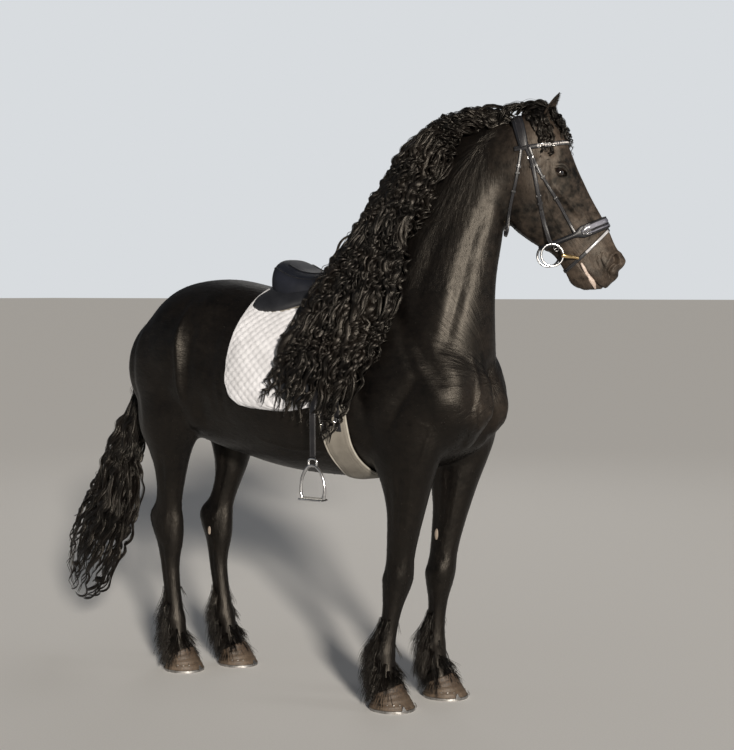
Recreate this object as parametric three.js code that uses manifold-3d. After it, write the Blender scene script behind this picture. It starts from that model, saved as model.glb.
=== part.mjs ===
// A life-size Friesian horse standing still in dressage tack. Millimetres, Z up.
// X points to the horse's front, Y to its left; the hooves stand on Z = 0.

import * as THREE from "three";
import { mergeVertices } from "three/addons/utils/BufferGeometryUtils.js";
import Module from "manifold-3d";

const wasm = await Module();
wasm.setup();

// Driving sizes
const GAP = 0.5; // kept between neighbouring nodes
const SPLIT = 0.3; // width of the cuts between body nodes
const HEAD_YAW = 33.8; // degrees the head is turned to the left
const POLL = { x: 870, y: 120 }; // where the head's own plane starts
const HOOF_GROUND = 11; // shoe thickness under each hoof
const EYE_RADIUS = 22;
const PAD_THICK = 15;
const FLAP_THICK = 7;
const STRAP_THICK = 4;
const BIT_RING = 41; // centre line radius of the snaffle ring
const BIT_WIRE = 5;
const HAIR_SIDES = 7;

const TRUNK_SIDES = 20;
const NECK_SIDES = 16;
const HEAD_SIDES = 16;
const LEG_SIDES = 10;

// Finishes
const finish = (color, roughness, metalness = 0) =>
  new THREE.MeshStandardMaterial({ color, roughness, metalness });
const COAT = finish(0x120d0b, 0.38);
const HAIR = finish(0x0d0b0b, 0.5);
const HORN = finish(0x4a3f37, 0.6);
const EYE = finish(0x120804, 0.08);
const LEATHER = finish(0x0e0e11, 0.45);
const NAVY = finish(0x0c1220, 0.4);
const CLOTH = finish(0xe9ebf2, 0.9);
const GREIGE = finish(0x77716a, 0.7);
const STEEL = finish(0xb9bcc0, 0.25, 1);

const vec = (x, y, z) => new THREE.Vector3(x, y, z);
const LEFT = vec(0, 1, 0);

// Turns a geometry into a solid whose faces point outwards.
function solid(geometry) {
  const g = geometry.clone();
  g.deleteAttribute("normal");
  g.deleteAttribute("uv");
  const merged = mergeVertices(g, 1e-3);
  const p = merged.attributes.position.array;
  const t = Uint32Array.from(merged.index.array);
  let volume = 0;
  const at = (i) => vec(p[3 * i], p[3 * i + 1], p[3 * i + 2]);
  for (let i = 0; i < t.length; i += 3)
    volume += at(t[i]).dot(at(t[i + 1]).cross(at(t[i + 2])));
  if (volume < 0)
    for (let i = 0; i < t.length; i += 3) [t[i + 1], t[i + 2]] = [t[i + 2], t[i + 1]];
  return new wasm.Manifold(
    new wasm.Mesh({ numProp: 3, vertProperties: Float32Array.from(p), triVerts: t }),
  );
}

const union = (parts) => parts.reduce((all, part) => all.add(part));

// Resamples a table of rows with smooth curves through its columns.
function resample(rows, count) {
  const curve = new THREE.CubicInterpolant(
    rows.map((_, i) => i),
    rows.flat(),
    rows[0].length,
  );
  const last = rows.length - 1;
  return Array.from({ length: count }, (_, i) =>
    Array.from(curve.evaluate((i * last) / (count - 1))),
  );
}

// Reads one row of a table at a height, for tables whose first column rises.
function readAt(rows, key) {
  const curve = new THREE.CubicInterpolant(
    rows.map((r) => r[0]),
    rows.flatMap((r) => r.slice(1)),
    rows[0].length - 1,
  );
  return Array.from(curve.evaluate(key));
}

// One cross-section: from a at the top or front to b at the bottom or back, w half as wide.
const section = (a, b, side, w, belt = 0.5, et = 2, eb = 2) => ({ a, b, side, w, belt, et, eb });

// Points of a cross-section, a rounded shape whose corners follow the two exponents.
function ring(s, sides, grow) {
  const up = s.a.clone().sub(s.b);
  const height = up.length();
  up.normalize();
  const centre = s.b.clone().addScaledVector(up, height * s.belt);
  const top = height * (1 - s.belt) + grow;
  const bottom = height * s.belt + grow;
  return Array.from({ length: sides }, (_, k) => {
    const t = (2 * Math.PI * (k + 0.5)) / sides;
    const c = Math.cos(t);
    const v = Math.sin(t);
    const e = v > 0 ? s.et : s.eb;
    const across = (s.w + grow) * Math.sign(c) * Math.abs(c) ** (2 / e);
    const along = (v > 0 ? top : bottom) * Math.sign(v) * Math.abs(v) ** (2 / e);
    return centre.clone().addScaledVector(s.side, across).addScaledVector(up, along);
  });
}

// Skins a list of rings and closes both ends.
function skin(rings) {
  const n = rings[0].length;
  const points = rings.flat();
  const index = [];
  for (let i = 0; i + 1 < rings.length; i++)
    for (let k = 0; k < n; k++) {
      const a = i * n + k;
      const b = i * n + ((k + 1) % n);
      index.push(a, b, a + n, b, b + n, a + n);
    }
  for (const [row, turn] of [[0, false], [rings.length - 1, true]]) {
    const middle = rings[row].reduce((m, p) => m.add(p), vec(0, 0, 0)).divideScalar(n);
    const hub = points.push(middle) - 1;
    for (let k = 0; k < n; k++) {
      const a = row * n + k;
      const b = row * n + ((k + 1) % n);
      index.push(...(turn ? [a, b, hub] : [b, a, hub]));
    }
  }
  const g = new THREE.BufferGeometry().setFromPoints(points);
  g.setIndex(index);
  return g;
}

// A solid through a list of cross-sections, made thicker all round by grow.
function loft(sections, sides, grow = 0) {
  const rings = sections.map((s) => ring(s, sides, grow));
  if (grow) {
    const middle = (s) => s.a.clone().lerp(s.b, 0.5);
    const push = (row, from) => {
      const out = middle(sections[row]).sub(middle(sections[from])).setLength(grow);
      rings[row].forEach((p) => p.add(out));
    };
    push(0, 1);
    push(sections.length - 1, sections.length - 2);
  }
  return solid(skin(rings));
}

// A box with one face on a plane, filling the side that the normal points to.
function half(point, normal, reach = 1500) {
  const n = normal.clone().normalize();
  const g = new THREE.BoxGeometry(2 * reach, 2 * reach, reach);
  g.translate(0, 0, reach / 2);
  g.applyQuaternion(new THREE.Quaternion().setFromUnitVectors(vec(0, 0, 1), n));
  g.translate(point.x, point.y, point.z);
  return solid(g);
}

// Trunk: x, top, bottom, half width, height of the widest place, roundness above and below
const TRUNK = [
  [-818, 1370, 1190, 70, 0.55, 2, 2],
  [-790, 1425, 1110, 140, 0.55, 2, 2],
  [-740, 1485, 1040, 200, 0.55, 2, 2],
  [-670, 1548, 985, 250, 0.56, 2, 2.1],
  [-590, 1592, 975, 282, 0.56, 2, 2.2],
  [-480, 1612, 945, 292, 0.54, 2, 2.2],
  [-360, 1612, 912, 285, 0.5, 2, 2.2],
  [-240, 1592, 888, 285, 0.46, 1.95, 2.2],
  [-120, 1566, 865, 303, 0.45, 1.95, 2.2],
  [0, 1553, 850, 312, 0.45, 1.9, 2.2],
  [120, 1560, 843, 305, 0.44, 1.8, 2.2],
  [230, 1592, 843, 285, 0.42, 1.7, 2.2],
  [320, 1640, 853, 262, 0.4, 1.6, 2.2],
  [420, 1650, 868, 250, 0.4, 1.7, 2.2],
  [530, 1610, 885, 245, 0.42, 1.9, 2.3],
  [640, 1530, 915, 232, 0.46, 2, 2.4],
  [740, 1420, 965, 204, 0.5, 2, 2.3],
  [800, 1330, 1030, 158, 0.5, 2, 2.2],
  [838, 1240, 1105, 88, 0.5, 2, 2],
];

// Neck: top x, y, z, underside x, y, z, half width, turn to the left in degrees, widest height
const NECK = [
  [330, 0, 1540, 790, 0, 1150, 185, 0, 0.5],
  [325, 0, 1640, 822, 0, 1265, 182, 0, 0.45],
  [338, 2, 1735, 828, 0, 1400, 160, 3, 0.42],
  [362, 8, 1835, 826, 14, 1520, 140, 8, 0.42],
  [408, 22, 1940, 826, 36, 1625, 126, 15, 0.42],
  [476, 40, 2040, 830, 60, 1712, 117, 22, 0.42],
  [570, 62, 2122, 832, 80, 1778, 110, 28, 0.42],
  [680, 84, 2178, 832, 98, 1840, 102, 32, 0.42],
  [790, 108, 2200, 862, 112, 1900, 96, 33.8, 0.45],
  [880, 130, 2190, 905, 130, 1960, 84, 33.8, 0.5],
];

// Head, in its own upright plane: forehead side h, z, jaw side h, z, half width, widest height,
// roundness of the face and of the jaw
const HEAD = [
  [19, 2222, -66, 2120, 62, 0.5, 2, 2],
  [83, 2234, -76, 2010, 86, 0.55, 2.1, 2],
  [132, 2218, -72, 1915, 97, 0.6, 2.3, 2],
  [169, 2160, -56, 1849, 103, 0.64, 2.5, 2],
  [199, 2085, -32, 1796, 103, 0.66, 2.6, 2],
  [222, 2025, 8, 1762, 94, 0.66, 2.6, 2],
  [248, 1969, 50, 1734, 80, 0.66, 2.5, 2],
  [274, 1916, 84, 1714, 68, 0.62, 2.4, 2],
  [300, 1868, 115, 1697, 60, 0.58, 2.3, 2],
  [327, 1820, 142, 1674, 55, 0.55, 2.2, 2.1],
  [349, 1774, 164, 1650, 53, 0.55, 2.2, 2.1],
  [368, 1732, 182, 1620, 53, 0.58, 2.3, 2.1],
  [387, 1702, 194, 1594, 53, 0.6, 2.3, 2.1],
  [402, 1672, 213, 1577, 50, 0.6, 2.2, 2],
  [392, 1642, 243, 1568, 43, 0.55, 2, 2],
  [370, 1609, 277, 1566, 33, 0.5, 2, 2],
  [343, 1582, 306, 1569, 18, 0.5, 2, 2],
];

// Foreleg: height, forward and backward reach from the leg's line, half width
const FORELEG = [
  [84, 52, -50, 52],
  [112, 44, -42, 43],
  [160, 39, -43, 38],
  [205, 43, -52, 40],
  [245, 37, -46, 36],
  [310, 36, -42, 33],
  [375, 42, -44, 37],
  [420, 52, -52, 46],
  [465, 62, -60, 53],
  [510, 62, -58, 52],
  [560, 59, -57, 49],
  [640, 66, -64, 54],
  [740, 82, -76, 64],
  [840, 105, -104, 78],
  [920, 130, -145, 88],
  [1020, 165, -170, 94],
  [1150, 175, -165, 90],
  [1290, 120, -130, 60],
];

// Hind leg, in the same order
const HINDLEG = [
  [84, 52, -50, 52],
  [112, 45, -42, 44],
  [160, 40, -44, 38],
  [205, 44, -50, 40],
  [245, 38, -44, 35],
  [310, 36, -42, 33],
  [400, 38, -46, 34],
  [460, 46, -52, 38],
  [520, 62, -64, 45],
  [575, 70, -86, 49],
  [622, 70, -96, 48],
  [670, 62, -74, 46],
  [735, 66, -60, 52],
  [820, 82, -68, 66],
  [900, 104, -78, 84],
  [990, 160, -125, 100],
  [1100, 225, -150, 104],
  [1250, 225, -165, 80],
];

// Leg lines: height, x, y
const LEGS = {
  foreleg_right: [
    [0, 482, -152], [84, 460, -147], [205, 441, -136], [475, 480, -106],
    [740, 526, -124], [920, 546, -142], [1290, 570, -150],
  ],
  foreleg_left: [
    [0, 551, 121], [84, 530, 119], [205, 514, 110], [475, 536, 108],
    [740, 574, 128], [920, 592, 144], [1290, 590, 150],
  ],
  hindleg_right: [
    [0, -575, -100], [84, -597, -100], [205, -620, -97], [400, -645, -98],
    [622, -655, -100], [820, -636, -122], [990, -615, -158], [1250, -600, -170],
  ],
  hindleg_left: [
    [0, -450, 100], [84, -478, 100], [205, -517, 98], [400, -550, 99],
    [622, -556, 102], [820, -512, 122], [990, -530, 158], [1250, -590, 170],
  ],
};

// Rounded masses on the body: centre x, y, z, radii x, y, z (y and its mirror)
const MASSES = [
  [600, 140, 1170, 190, 96, 175],
  [770, 66, 1140, 80, 80, 120],
  [-585, 150, 1250, 225, 128, 240],
  [-400, 180, 1120, 110, 84, 128],
];

const headForward = vec(1, 0, 0).applyAxisAngle(vec(0, 0, 1), THREE.MathUtils.degToRad(HEAD_YAW));
const headSide = LEFT.clone().applyAxisAngle(vec(0, 0, 1), THREE.MathUtils.degToRad(HEAD_YAW));
const inHead = (h, z, out = 0) =>
  vec(POLL.x, POLL.y, 0).addScaledVector(headForward, h).addScaledVector(headSide, out).setZ(z);

const trunkSections = resample(TRUNK, 20).map(([x, top, bottom, w, belt, et, eb]) =>
  section(vec(x, 0, top), vec(x, 0, bottom), LEFT, w, belt, et, eb),
);
const neckSections = resample(NECK, 13).map(([ax, ay, az, bx, by, bz, w, turn, belt]) =>
  section(
    vec(ax, ay, az),
    vec(bx, by, bz),
    LEFT.clone().applyAxisAngle(vec(0, 0, 1), THREE.MathUtils.degToRad(turn)),
    w,
    belt,
  ),
);
const headSection = ([ah, az, bh, bz, w, belt, et, eb]) =>
  section(inHead(ah, az), inHead(bh, bz), headSide, w, belt, et, eb);
const headSections = resample(HEAD, 18).map(headSection);

function legSections(name) {
  const table = name.startsWith("fore") ? FORELEG : HINDLEG;
  return resample(table, 16).map(([z, front, back, w]) => {
    const [x, y] = readAt(LEGS[name], z);
    return section(vec(x + front, y, z), vec(x + back, y, z), LEFT, w);
  });
}

function ball(x, y, z, rx, ry, rz, grow) {
  const g = new THREE.SphereGeometry(1, 10, 6);
  g.rotateX(Math.PI / 2);
  g.scale(rx + grow, ry + grow, rz + grow);
  g.translate(x, y, z);
  return solid(g);
}

const masses = (grow) =>
  union(
    MASSES.flatMap(([x, y, z, rx, ry, rz]) =>
      [y, -y].map((side) => ball(x, side, z, rx, ry, rz, grow)),
    ),
  );

// Grown copies of the body's parts, to cut what lies on them.
const trunkAt = (grow) => loft(trunkSections, TRUNK_SIDES, grow).add(masses(grow));
const neckAt = (grow) => loft(neckSections, NECK_SIDES, grow);
const headAt = (grow) => loft(headSections, HEAD_SIDES, grow);
const legAt = (name, grow) => loft(legSections(name), LEG_SIDES, grow);
const legNames = Object.keys(LEGS);
const bodyAt = (grow) =>
  union([trunkAt(grow), neckAt(grow), headAt(grow), ...legNames.map((n) => legAt(n, grow))]);

const body = bodyAt(0);
const bodyClear = bodyAt(GAP);

// Regions that split the body into its nodes
const headPlane = vec(0, 0, 1).applyAxisAngle(headSide, THREE.MathUtils.degToRad(84));
function headRegion(shift) {
  const behind = half(inHead(-54 + shift, 1790), headPlane);
  const rise = headForward.clone().multiplyScalar(1.2).add(vec(0, 0, 1));
  return behind.intersect(half(inHead(-67, 1800 + shift), rise));
}
const neckPlane = vec(0.62, 0, 0.78);
const neckRegion = (shift) => half(vec(300, 0, 1690 + shift), neckPlane);
function legRegion(name, shift) {
  const s = name.endsWith("left") ? 1 : -1;
  const fore = name.startsWith("fore");
  const top = fore ? vec(0, 40 * s, 862 - shift) : vec(0, 30 * s, 950 - shift);
  const below = half(top, vec(0, 0.72 * s, -0.7));
  const side = half(vec(0, s * (-14 + shift), 0), vec(0, s, 0));
  const front = fore
    ? half(vec(376 + shift, 0, 0), vec(1, 0, 0))
    : half(vec(-300 - shift, 0, 0), vec(-1, 0, 0));
  return below.intersect(side).intersect(front);
}

// Eyes
const EYE_AT = { h: 152, z: 2004, out: 84 };
const eyeBall = (s, grow) => {
  const c = inHead(EYE_AT.h, EYE_AT.z, s * EYE_AT.out);
  return ball(c.x, c.y, c.z, EYE_RADIUS, EYE_RADIUS, EYE_RADIUS, grow);
};

// Ears: cupped cones leaning forward and out
function ear(s) {
  const base = inHead(118, 2206, s * 52);
  const tip = inHead(150, 2300, s * 66);
  const face = headForward.clone().multiplyScalar(0.55).addScaledVector(headSide, 0.8 * s).normalize();
  const across = face.clone().cross(vec(0, 0, 1)).normalize();
  const rows = [
    [-0.28, 22, 22, 0], [0, 26, 27, 0], [0.22, 26, 31, 3], [0.45, 21, 28, 5],
    [0.68, 15, 21, 5], [0.86, 9, 12, 2], [1, 3, 4, -3],
  ];
  const outer = rows.map(([t, deep, wide, bow]) => {
    const c = base.clone().lerp(tip, t).addScaledVector(across, bow);
    return section(
      c.clone().addScaledVector(face, deep),
      c.clone().addScaledVector(face, -deep),
      across,
      wide,
    );
  });
  const cup = [[0.12, 6, 5], [0.3, 12, 16], [0.5, 13, 18], [0.7, 10, 13], [0.9, 6, 6]].map(
    ([t, deep, wide]) => {
      const c = base.clone().lerp(tip, t).addScaledVector(face, 19 - 8 * t);
      return section(
        c.clone().addScaledVector(face, deep),
        c.clone().addScaledVector(face, -deep),
        across,
        wide,
      );
    },
  );
  return loft(outer, 12).subtract(loft(cup, 10)).subtract(bodyClear);
}

// Hooves and shoes
const HOOF = {
  fore: { front: 92, back: -86, wide: 81, crownFront: 53, crownBack: -51, crownWide: 53 },
  hind: { front: 88, back: -80, wide: 77, crownFront: 53, crownBack: -51, crownWide: 53 },
};
const hoofOf = (name) => HOOF[name.slice(0, 4)];
function hoofSections(name) {
  const size = hoofOf(name);
  const [x, y] = LEGS[name][0].slice(1);
  const [cx, cy] = readAt(LEGS[name], 84);
  const row = (z, front, back, w, px, py, tilt) =>
    section(vec(px + front, py, z + tilt), vec(px + back, py, z - tilt), LEFT, w, 0.5, 2.1, 2.3);
  return [
    row(HOOF_GROUND + SPLIT, size.front, size.back, size.wide, x, y, 0),
    row(38, size.front - 14, size.back + 3, size.wide - 8, x, y, 3),
    row(62, size.front - 28, size.back + 6, size.wide - 17, (x + cx) / 2, (y + cy) / 2, 8),
    row(82, size.crownFront + 1, size.crownBack - 1, size.crownWide + 1, cx, cy, 0),
  ];
}
const hoofAt = (name, grow) => loft(hoofSections(name), 16, grow);

function shoe(name) {
  const [x, y] = LEGS[name][0].slice(1);
  const outline = new THREE.Shape();
  const arc = (rx, ry, from, to, n) =>
    Array.from({ length: n + 1 }, (_, i) => {
      const t = THREE.MathUtils.degToRad(from + ((to - from) * i) / n);
      return new THREE.Vector2(rx * Math.cos(t), ry * Math.sin(t));
    });
  const { front, back, wide } = hoofOf(name);
  const cx = (front + back) / 2;
  const outer = (front - back) / 2 + 2;
  outline.setFromPoints([
    ...arc(outer, wide + 2, -146, 146, 14),
    ...arc(outer - 24, wide - 22, 140, -140, 12),
  ]);
  const g = new THREE.ExtrudeGeometry(outline, { depth: HOOF_GROUND, bevelEnabled: false });
  g.translate(x + cx, y, 0);
  return solid(g);
}

// Hair
function lock(rows, count, grow = 0, thin = 0.72) {
  const path = resample(rows, count);
  const sections = path.map(([x, y, z, r], i) => {
    const p = path[Math.max(i - 1, 0)];
    const q = path[Math.min(i + 1, count - 1)];
    const tangent = vec(q[0] - p[0], q[1] - p[1], q[2] - p[2]).normalize();
    const out = LEFT.clone().addScaledVector(tangent, -LEFT.dot(tangent)).normalize();
    const wide = tangent.clone().cross(out).setLength(Math.max(r, 6));
    const c = vec(x, y, z);
    return section(c.clone().add(wide), c.clone().sub(wide), out, Math.max(r, 6) * thin);
  });
  return loft(sections, HAIR_SIDES, grow);
}

const MANE = [
  [
    [845, 108, 2212, 35], [760, 80, 2205, 45], [690, 40, 2190, 50], [625, 0, 2145, 55],
    [590, -40, 2070, 55], [565, -80, 1980, 50], [545, -110, 1875, 45], [525, -140, 1770, 36],
    [505, -160, 1680, 20],
  ],
  [
    [790, 90, 2225, 30], [695, 60, 2215, 45], [620, 20, 2185, 60], [560, -10, 2125, 65],
    [520, -50, 2035, 65], [495, -90, 1935, 65], [485, -125, 1820, 60], [485, -165, 1700, 60],
    [495, -200, 1565, 60], [495, -235, 1440, 50], [460, -258, 1325, 22],
  ],
  [
    [655, 70, 2215, 30], [575, 40, 2185, 45], [515, 0, 2110, 60], [465, -30, 2020, 65],
    [435, -60, 1915, 65], [405, -95, 1815, 70], [400, -145, 1700, 70], [405, -200, 1585, 70],
    [400, -245, 1465, 70], [385, -275, 1335, 70], [360, -292, 1205, 65], [330, -305, 1075, 40],
    [305, -305, 985, 14],
  ],
  [
    [515, 30, 2135, 30], [455, 0, 2055, 50], [420, -30, 1955, 65], [375, -65, 1855, 70],
    [340, -110, 1745, 75], [305, -165, 1645, 80], [285, -225, 1535, 80], [265, -280, 1415, 80],
    [245, -320, 1285, 75], [220, -345, 1165, 55], [200, -348, 1065, 22],
  ],
  [
    [430, 0, 2005, 30], [370, -25, 1905, 45], [320, -65, 1795, 60], [270, -115, 1700, 65],
    [225, -175, 1600, 70], [180, -240, 1500, 70], [145, -300, 1395, 70], [110, -340, 1290, 62],
    [65, -355, 1190, 42], [20, -355, 1130, 16],
  ],
  [
    [430, -190, 1600, 40], [425, -240, 1480, 65], [415, -270, 1370, 65], [385, -290, 1245, 65],
    [365, -300, 1120, 45], [355, -300, 1020, 18],
  ],
];
const TAIL = [
  [-762, 0, 1446, 30], [-808, 0, 1400, 46], [-838, 0, 1310, 50], [-856, 0, 1210, 52],
  [-880, 0, 1095, 60], [-935, 5, 965, 84], [-985, 10, 855, 104], [-1035, 15, 740, 124],
  [-1090, 25, 625, 142], [-1160, 35, 510, 148], [-1225, 45, 395, 138], [-1270, 50, 305, 95],
  [-1305, 55, 235, 34],
];
const FORELOCK = [
  [22, 2226, 0, 30], [72, 2238, 0, 36], [116, 2222, 0, 34], [156, 2168, -6, 32],
  [188, 2095, -14, 22], [204, 2040, -18, 12],
];

// Feathering round each fetlock: height, front, back, half width, as a skirt over the hoof
const FEATHER = [
  [330, 38, -52, 37], [270, 42, -76, 46], [205, 52, -100, 58], [140, 60, -108, 66],
  [92, 74, -104, 72], [52, 62, -102, 76],
];
function feather(name) {
  const rows = resample(FEATHER, 6).reverse();
  const sections = rows.map(([z, front, back, w]) => {
    const [x, y] = readAt(LEGS[name], z);
    return section(vec(x + front, y, z + 10), vec(x + back, y, z - 12), LEFT, w);
  });
  return loft(sections, 10).subtract(legAt(name, GAP)).subtract(hoofAt(name, GAP));
}

// Flat outlines pushed through the body, to cut straps and cloths out of grown copies
function prism(points, origin, u, v, n, from, to) {
  const shape = new THREE.Shape(points.map(([a, b]) => new THREE.Vector2(a, b)));
  const g = new THREE.ExtrudeGeometry(shape, { depth: to - from, bevelEnabled: false });
  g.translate(0, 0, from);
  g.applyMatrix4(new THREE.Matrix4().makeBasis(u, v, n).setPosition(origin));
  return solid(g);
}
const UP = vec(0, 0, 1);
const headOrigin = vec(POLL.x, POLL.y, 0);
// In the head's plane; out counts towards the horse's left.
const headPrism = (points, from, to) =>
  prism(points, headOrigin, headForward, UP, headSide.clone(), from, to);
const sidePrism = (points, from, to) => prism(points, vec(0, 0, 0), vec(1, 0, 0), UP, LEFT, from, to);

// The outline of a strap with a given width along a line of points.
function stripe(line, width) {
  const side = line.map((p, i) => {
    const a = line[Math.max(i - 1, 0)];
    const b = line[Math.min(i + 1, line.length - 1)];
    const d = new THREE.Vector2(b[0] - a[0], b[1] - a[1]).normalize();
    return [-d.y * (width / 2), d.x * (width / 2)];
  });
  return [
    ...line.map((p, i) => [p[0] + side[i][0], p[1] + side[i][1]]),
    ...line.map((p, i) => [p[0] - side[i][0], p[1] - side[i][1]]).reverse(),
  ];
}

const headCover = (grow) => headAt(grow).add(neckAt(grow));
const coverThin = headCover(STRAP_THICK);
const coverThick = headCover(9);
const coverNose = headCover(13);
const coverClear = bodyClear;

const LINES = {
  headpiece: [[-14, 2262], [-3, 2222], [10, 2160], [24, 2092]],
  browband: [[20, 2086], [68, 2100], [130, 2106], [230, 2112]],
  throat: [[2, 2070], [-18, 1961], [-33, 1886], [-40, 1780]],
  cheek: [[24, 2092], [42, 2040], [69, 1906], [105, 1757], [116, 1734]],
  nosecheek: [[40, 2072], [69, 2004], [132, 1905], [186, 1806]],
  noseband: [[372, 1837], [120, 1738]],
  flash: [[372, 1830], [250, 1720], [160, 1622]],
};
const strap = (name, width, cover, from, to) =>
  headPrism(stripe(LINES[name], width), from, to).intersect(cover).subtract(coverClear);

const nodes = new Map();
const biggest = (s) => s.decompose().sort((a, b) => b.volume() - a.volume())[0];
const put = (name, s, material) => nodes.set(name, { solid: biggest(s), material });

// Body
let head = body.intersect(headRegion(SPLIT / 2));
const rest = body.subtract(headRegion(-SPLIT / 2));
const neck = rest.intersect(neckRegion(SPLIT / 2));
let trunk = rest.subtract(neckRegion(-SPLIT / 2));
for (const name of legNames) {
  put(name, trunk.intersect(legRegion(name, SPLIT / 2)), COAT);
  trunk = trunk.subtract(legRegion(name, -SPLIT / 2));
}
put("trunk", trunk, COAT);
put("neck", neck, COAT);
for (const [side, s] of [["right", -1], ["left", 1]]) {
  put("eye_" + side, eyeBall(s, 0), EYE);
  head = head.subtract(eyeBall(s, GAP));
  put("ear_" + side, ear(s), COAT);
}
put("head", head, COAT);
for (const name of legNames) {
  const at = name.replace("leg", "");
  put("hoof_" + at, hoofAt(name, 0), HORN);
  put("shoe_" + at, shoe(name), STEEL);
  put("feather_" + at, feather(name), HAIR);
}

// Bridle
const taken = [];
const lay = (name, s, material, clear = s) => {
  const free = taken.reduce((left, other) => left.subtract(other), s);
  put(name, free, material);
  taken.push(clear);
};
lay(
  "headpiece",
  strap("headpiece", 38, coverThick, -300, 300),
  LEATHER,
  headPrism(stripe(LINES.headpiece, 39), -300, 300).intersect(headCover(9.5)),
);
lay(
  "browband",
  strap("browband", 20, coverThick, -300, 300),
  LEATHER,
  headPrism(stripe(LINES.browband, 21), -300, 300).intersect(headCover(9.5)),
);
lay(
  "noseband",
  strap("noseband", 42, coverNose, -300, 300),
  LEATHER,
  headPrism(stripe(LINES.noseband, 43), -300, 300).intersect(headCover(13.5)),
);
lay(
  "flash_strap",
  strap("flash", 14, coverThin, -300, 300),
  LEATHER,
  headPrism(stripe(LINES.flash, 15), -300, 300).intersect(headCover(STRAP_THICK + 0.5)),
);
for (const [side, from, to] of [["right", -300, -1], ["left", 1, 300]]) {
  for (const [name, line, width] of [
    ["cheekpiece_", "cheek", 16],
    ["noseband_strap_", "nosecheek", 14],
    ["throatlatch_", "throat", 15],
  ])
    lay(
      name + side,
      strap(line, width, coverThin, from, to),
      LEATHER,
      headPrism(stripe(LINES[line], width + 1), from, to).intersect(headCover(STRAP_THICK + 0.5)),
    );
}

// Bit: a loose ring and the end of its mouthpiece on each side
function bit(s) {
  const out = s * 66;
  const ringAt = inHead(121, 1697, out);
  const torus = new THREE.TorusGeometry(BIT_RING, BIT_WIRE, 6, 18);
  torus.applyMatrix4(new THREE.Matrix4().makeBasis(headForward, UP, headSide).setPosition(ringAt));
  const stub = [[0, 8], [0.35, 11], [1, 7]].map(([t, r]) => {
    const c = inHead(121 + BIT_RING - 4, 1697, out - s * 2).lerp(inHead(198, 1688, s * 44), t);
    return section(c.clone().add(vec(0, 0, r)), c.clone().sub(vec(0, 0, r)), headSide, r);
  });
  return solid(torus).add(loft(stub, 10)).subtract(coverClear);
}
for (const [side, s] of [["right", -1], ["left", 1]]) lay("bit_" + side, bit(s), STEEL);

// Saddle, pad and girth
const PAD_OUTLINE = [
  [-150, 1640], [-165, 1500], [-192, 1400], [-203, 1290], [-198, 1200], [-172, 1148], [-120, 1124],
  [240, 1112], [300, 1140], [330, 1220], [352, 1340], [345, 1480], [318, 1600], [300, 1700],
];
const FLAP_OUTLINE = [
  [66, 1500], [72, 1400], [74, 1280], [80, 1190], [108, 1150], [236, 1146], [292, 1172],
  [318, 1260], [322, 1360], [308, 1440], [284, 1510],
];
const padIn = (grow) => trunkAt(PAD_THICK + grow);
const saddlePad = sidePrism(PAD_OUTLINE, -500, 500).intersect(padIn(0)).subtract(bodyClear);
const SEAT = [
  [-118, 1662, 1500, 88, 0.5], [-102, 1690, 1480, 130, 0.45], [-56, 1680, 1470, 156, 0.45],
  [8, 1650, 1465, 160, 0.5], [82, 1642, 1465, 148, 0.5], [156, 1656, 1470, 132, 0.5],
  [220, 1692, 1480, 120, 0.45], [266, 1724, 1500, 106, 0.4], [286, 1720, 1530, 82, 0.4],
];
const seatSections = resample(SEAT, 13).map(([x, top, bottom, w, belt]) =>
  section(vec(x, 0, top), vec(x, 0, bottom), LEFT, w, belt, 2.4, 2.6),
);
const padClear = padIn(GAP);
const seatAt = (grow) => loft(seatSections, 20, grow);
const flapShell = trunkAt(PAD_THICK + FLAP_THICK);
lay("saddle_pad", saddlePad, CLOTH, sidePrism(PAD_OUTLINE, -500, 500).intersect(padClear));
put("saddle_seat", seatAt(0).subtract(padClear), NAVY);
taken.push(seatAt(GAP));
for (const [side, from, to] of [["right", -500, -1], ["left", 1, 500]]) {
  put(
    "saddle_flap_" + side,
    sidePrism(FLAP_OUTLINE, from, to).intersect(flapShell).subtract(padClear).subtract(seatAt(GAP)),
    NAVY,
  );
}
taken.push(sidePrism(FLAP_OUTLINE, -500, 500).intersect(trunkAt(PAD_THICK + FLAP_THICK + GAP)));
const GIRTH_OUTLINE = [
  [236, 1135], [240, 1000], [262, 900], [262, 700], [362, 700], [362, 900], [348, 1000], [344, 1135],
];
lay(
  "girth",
  sidePrism(GIRTH_OUTLINE, -500, 500).intersect(trunkAt(12)).subtract(bodyClear),
  GREIGE,
  sidePrism(GIRTH_OUTLINE, -500, 500).intersect(trunkAt(12 + GAP)),
);

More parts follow.
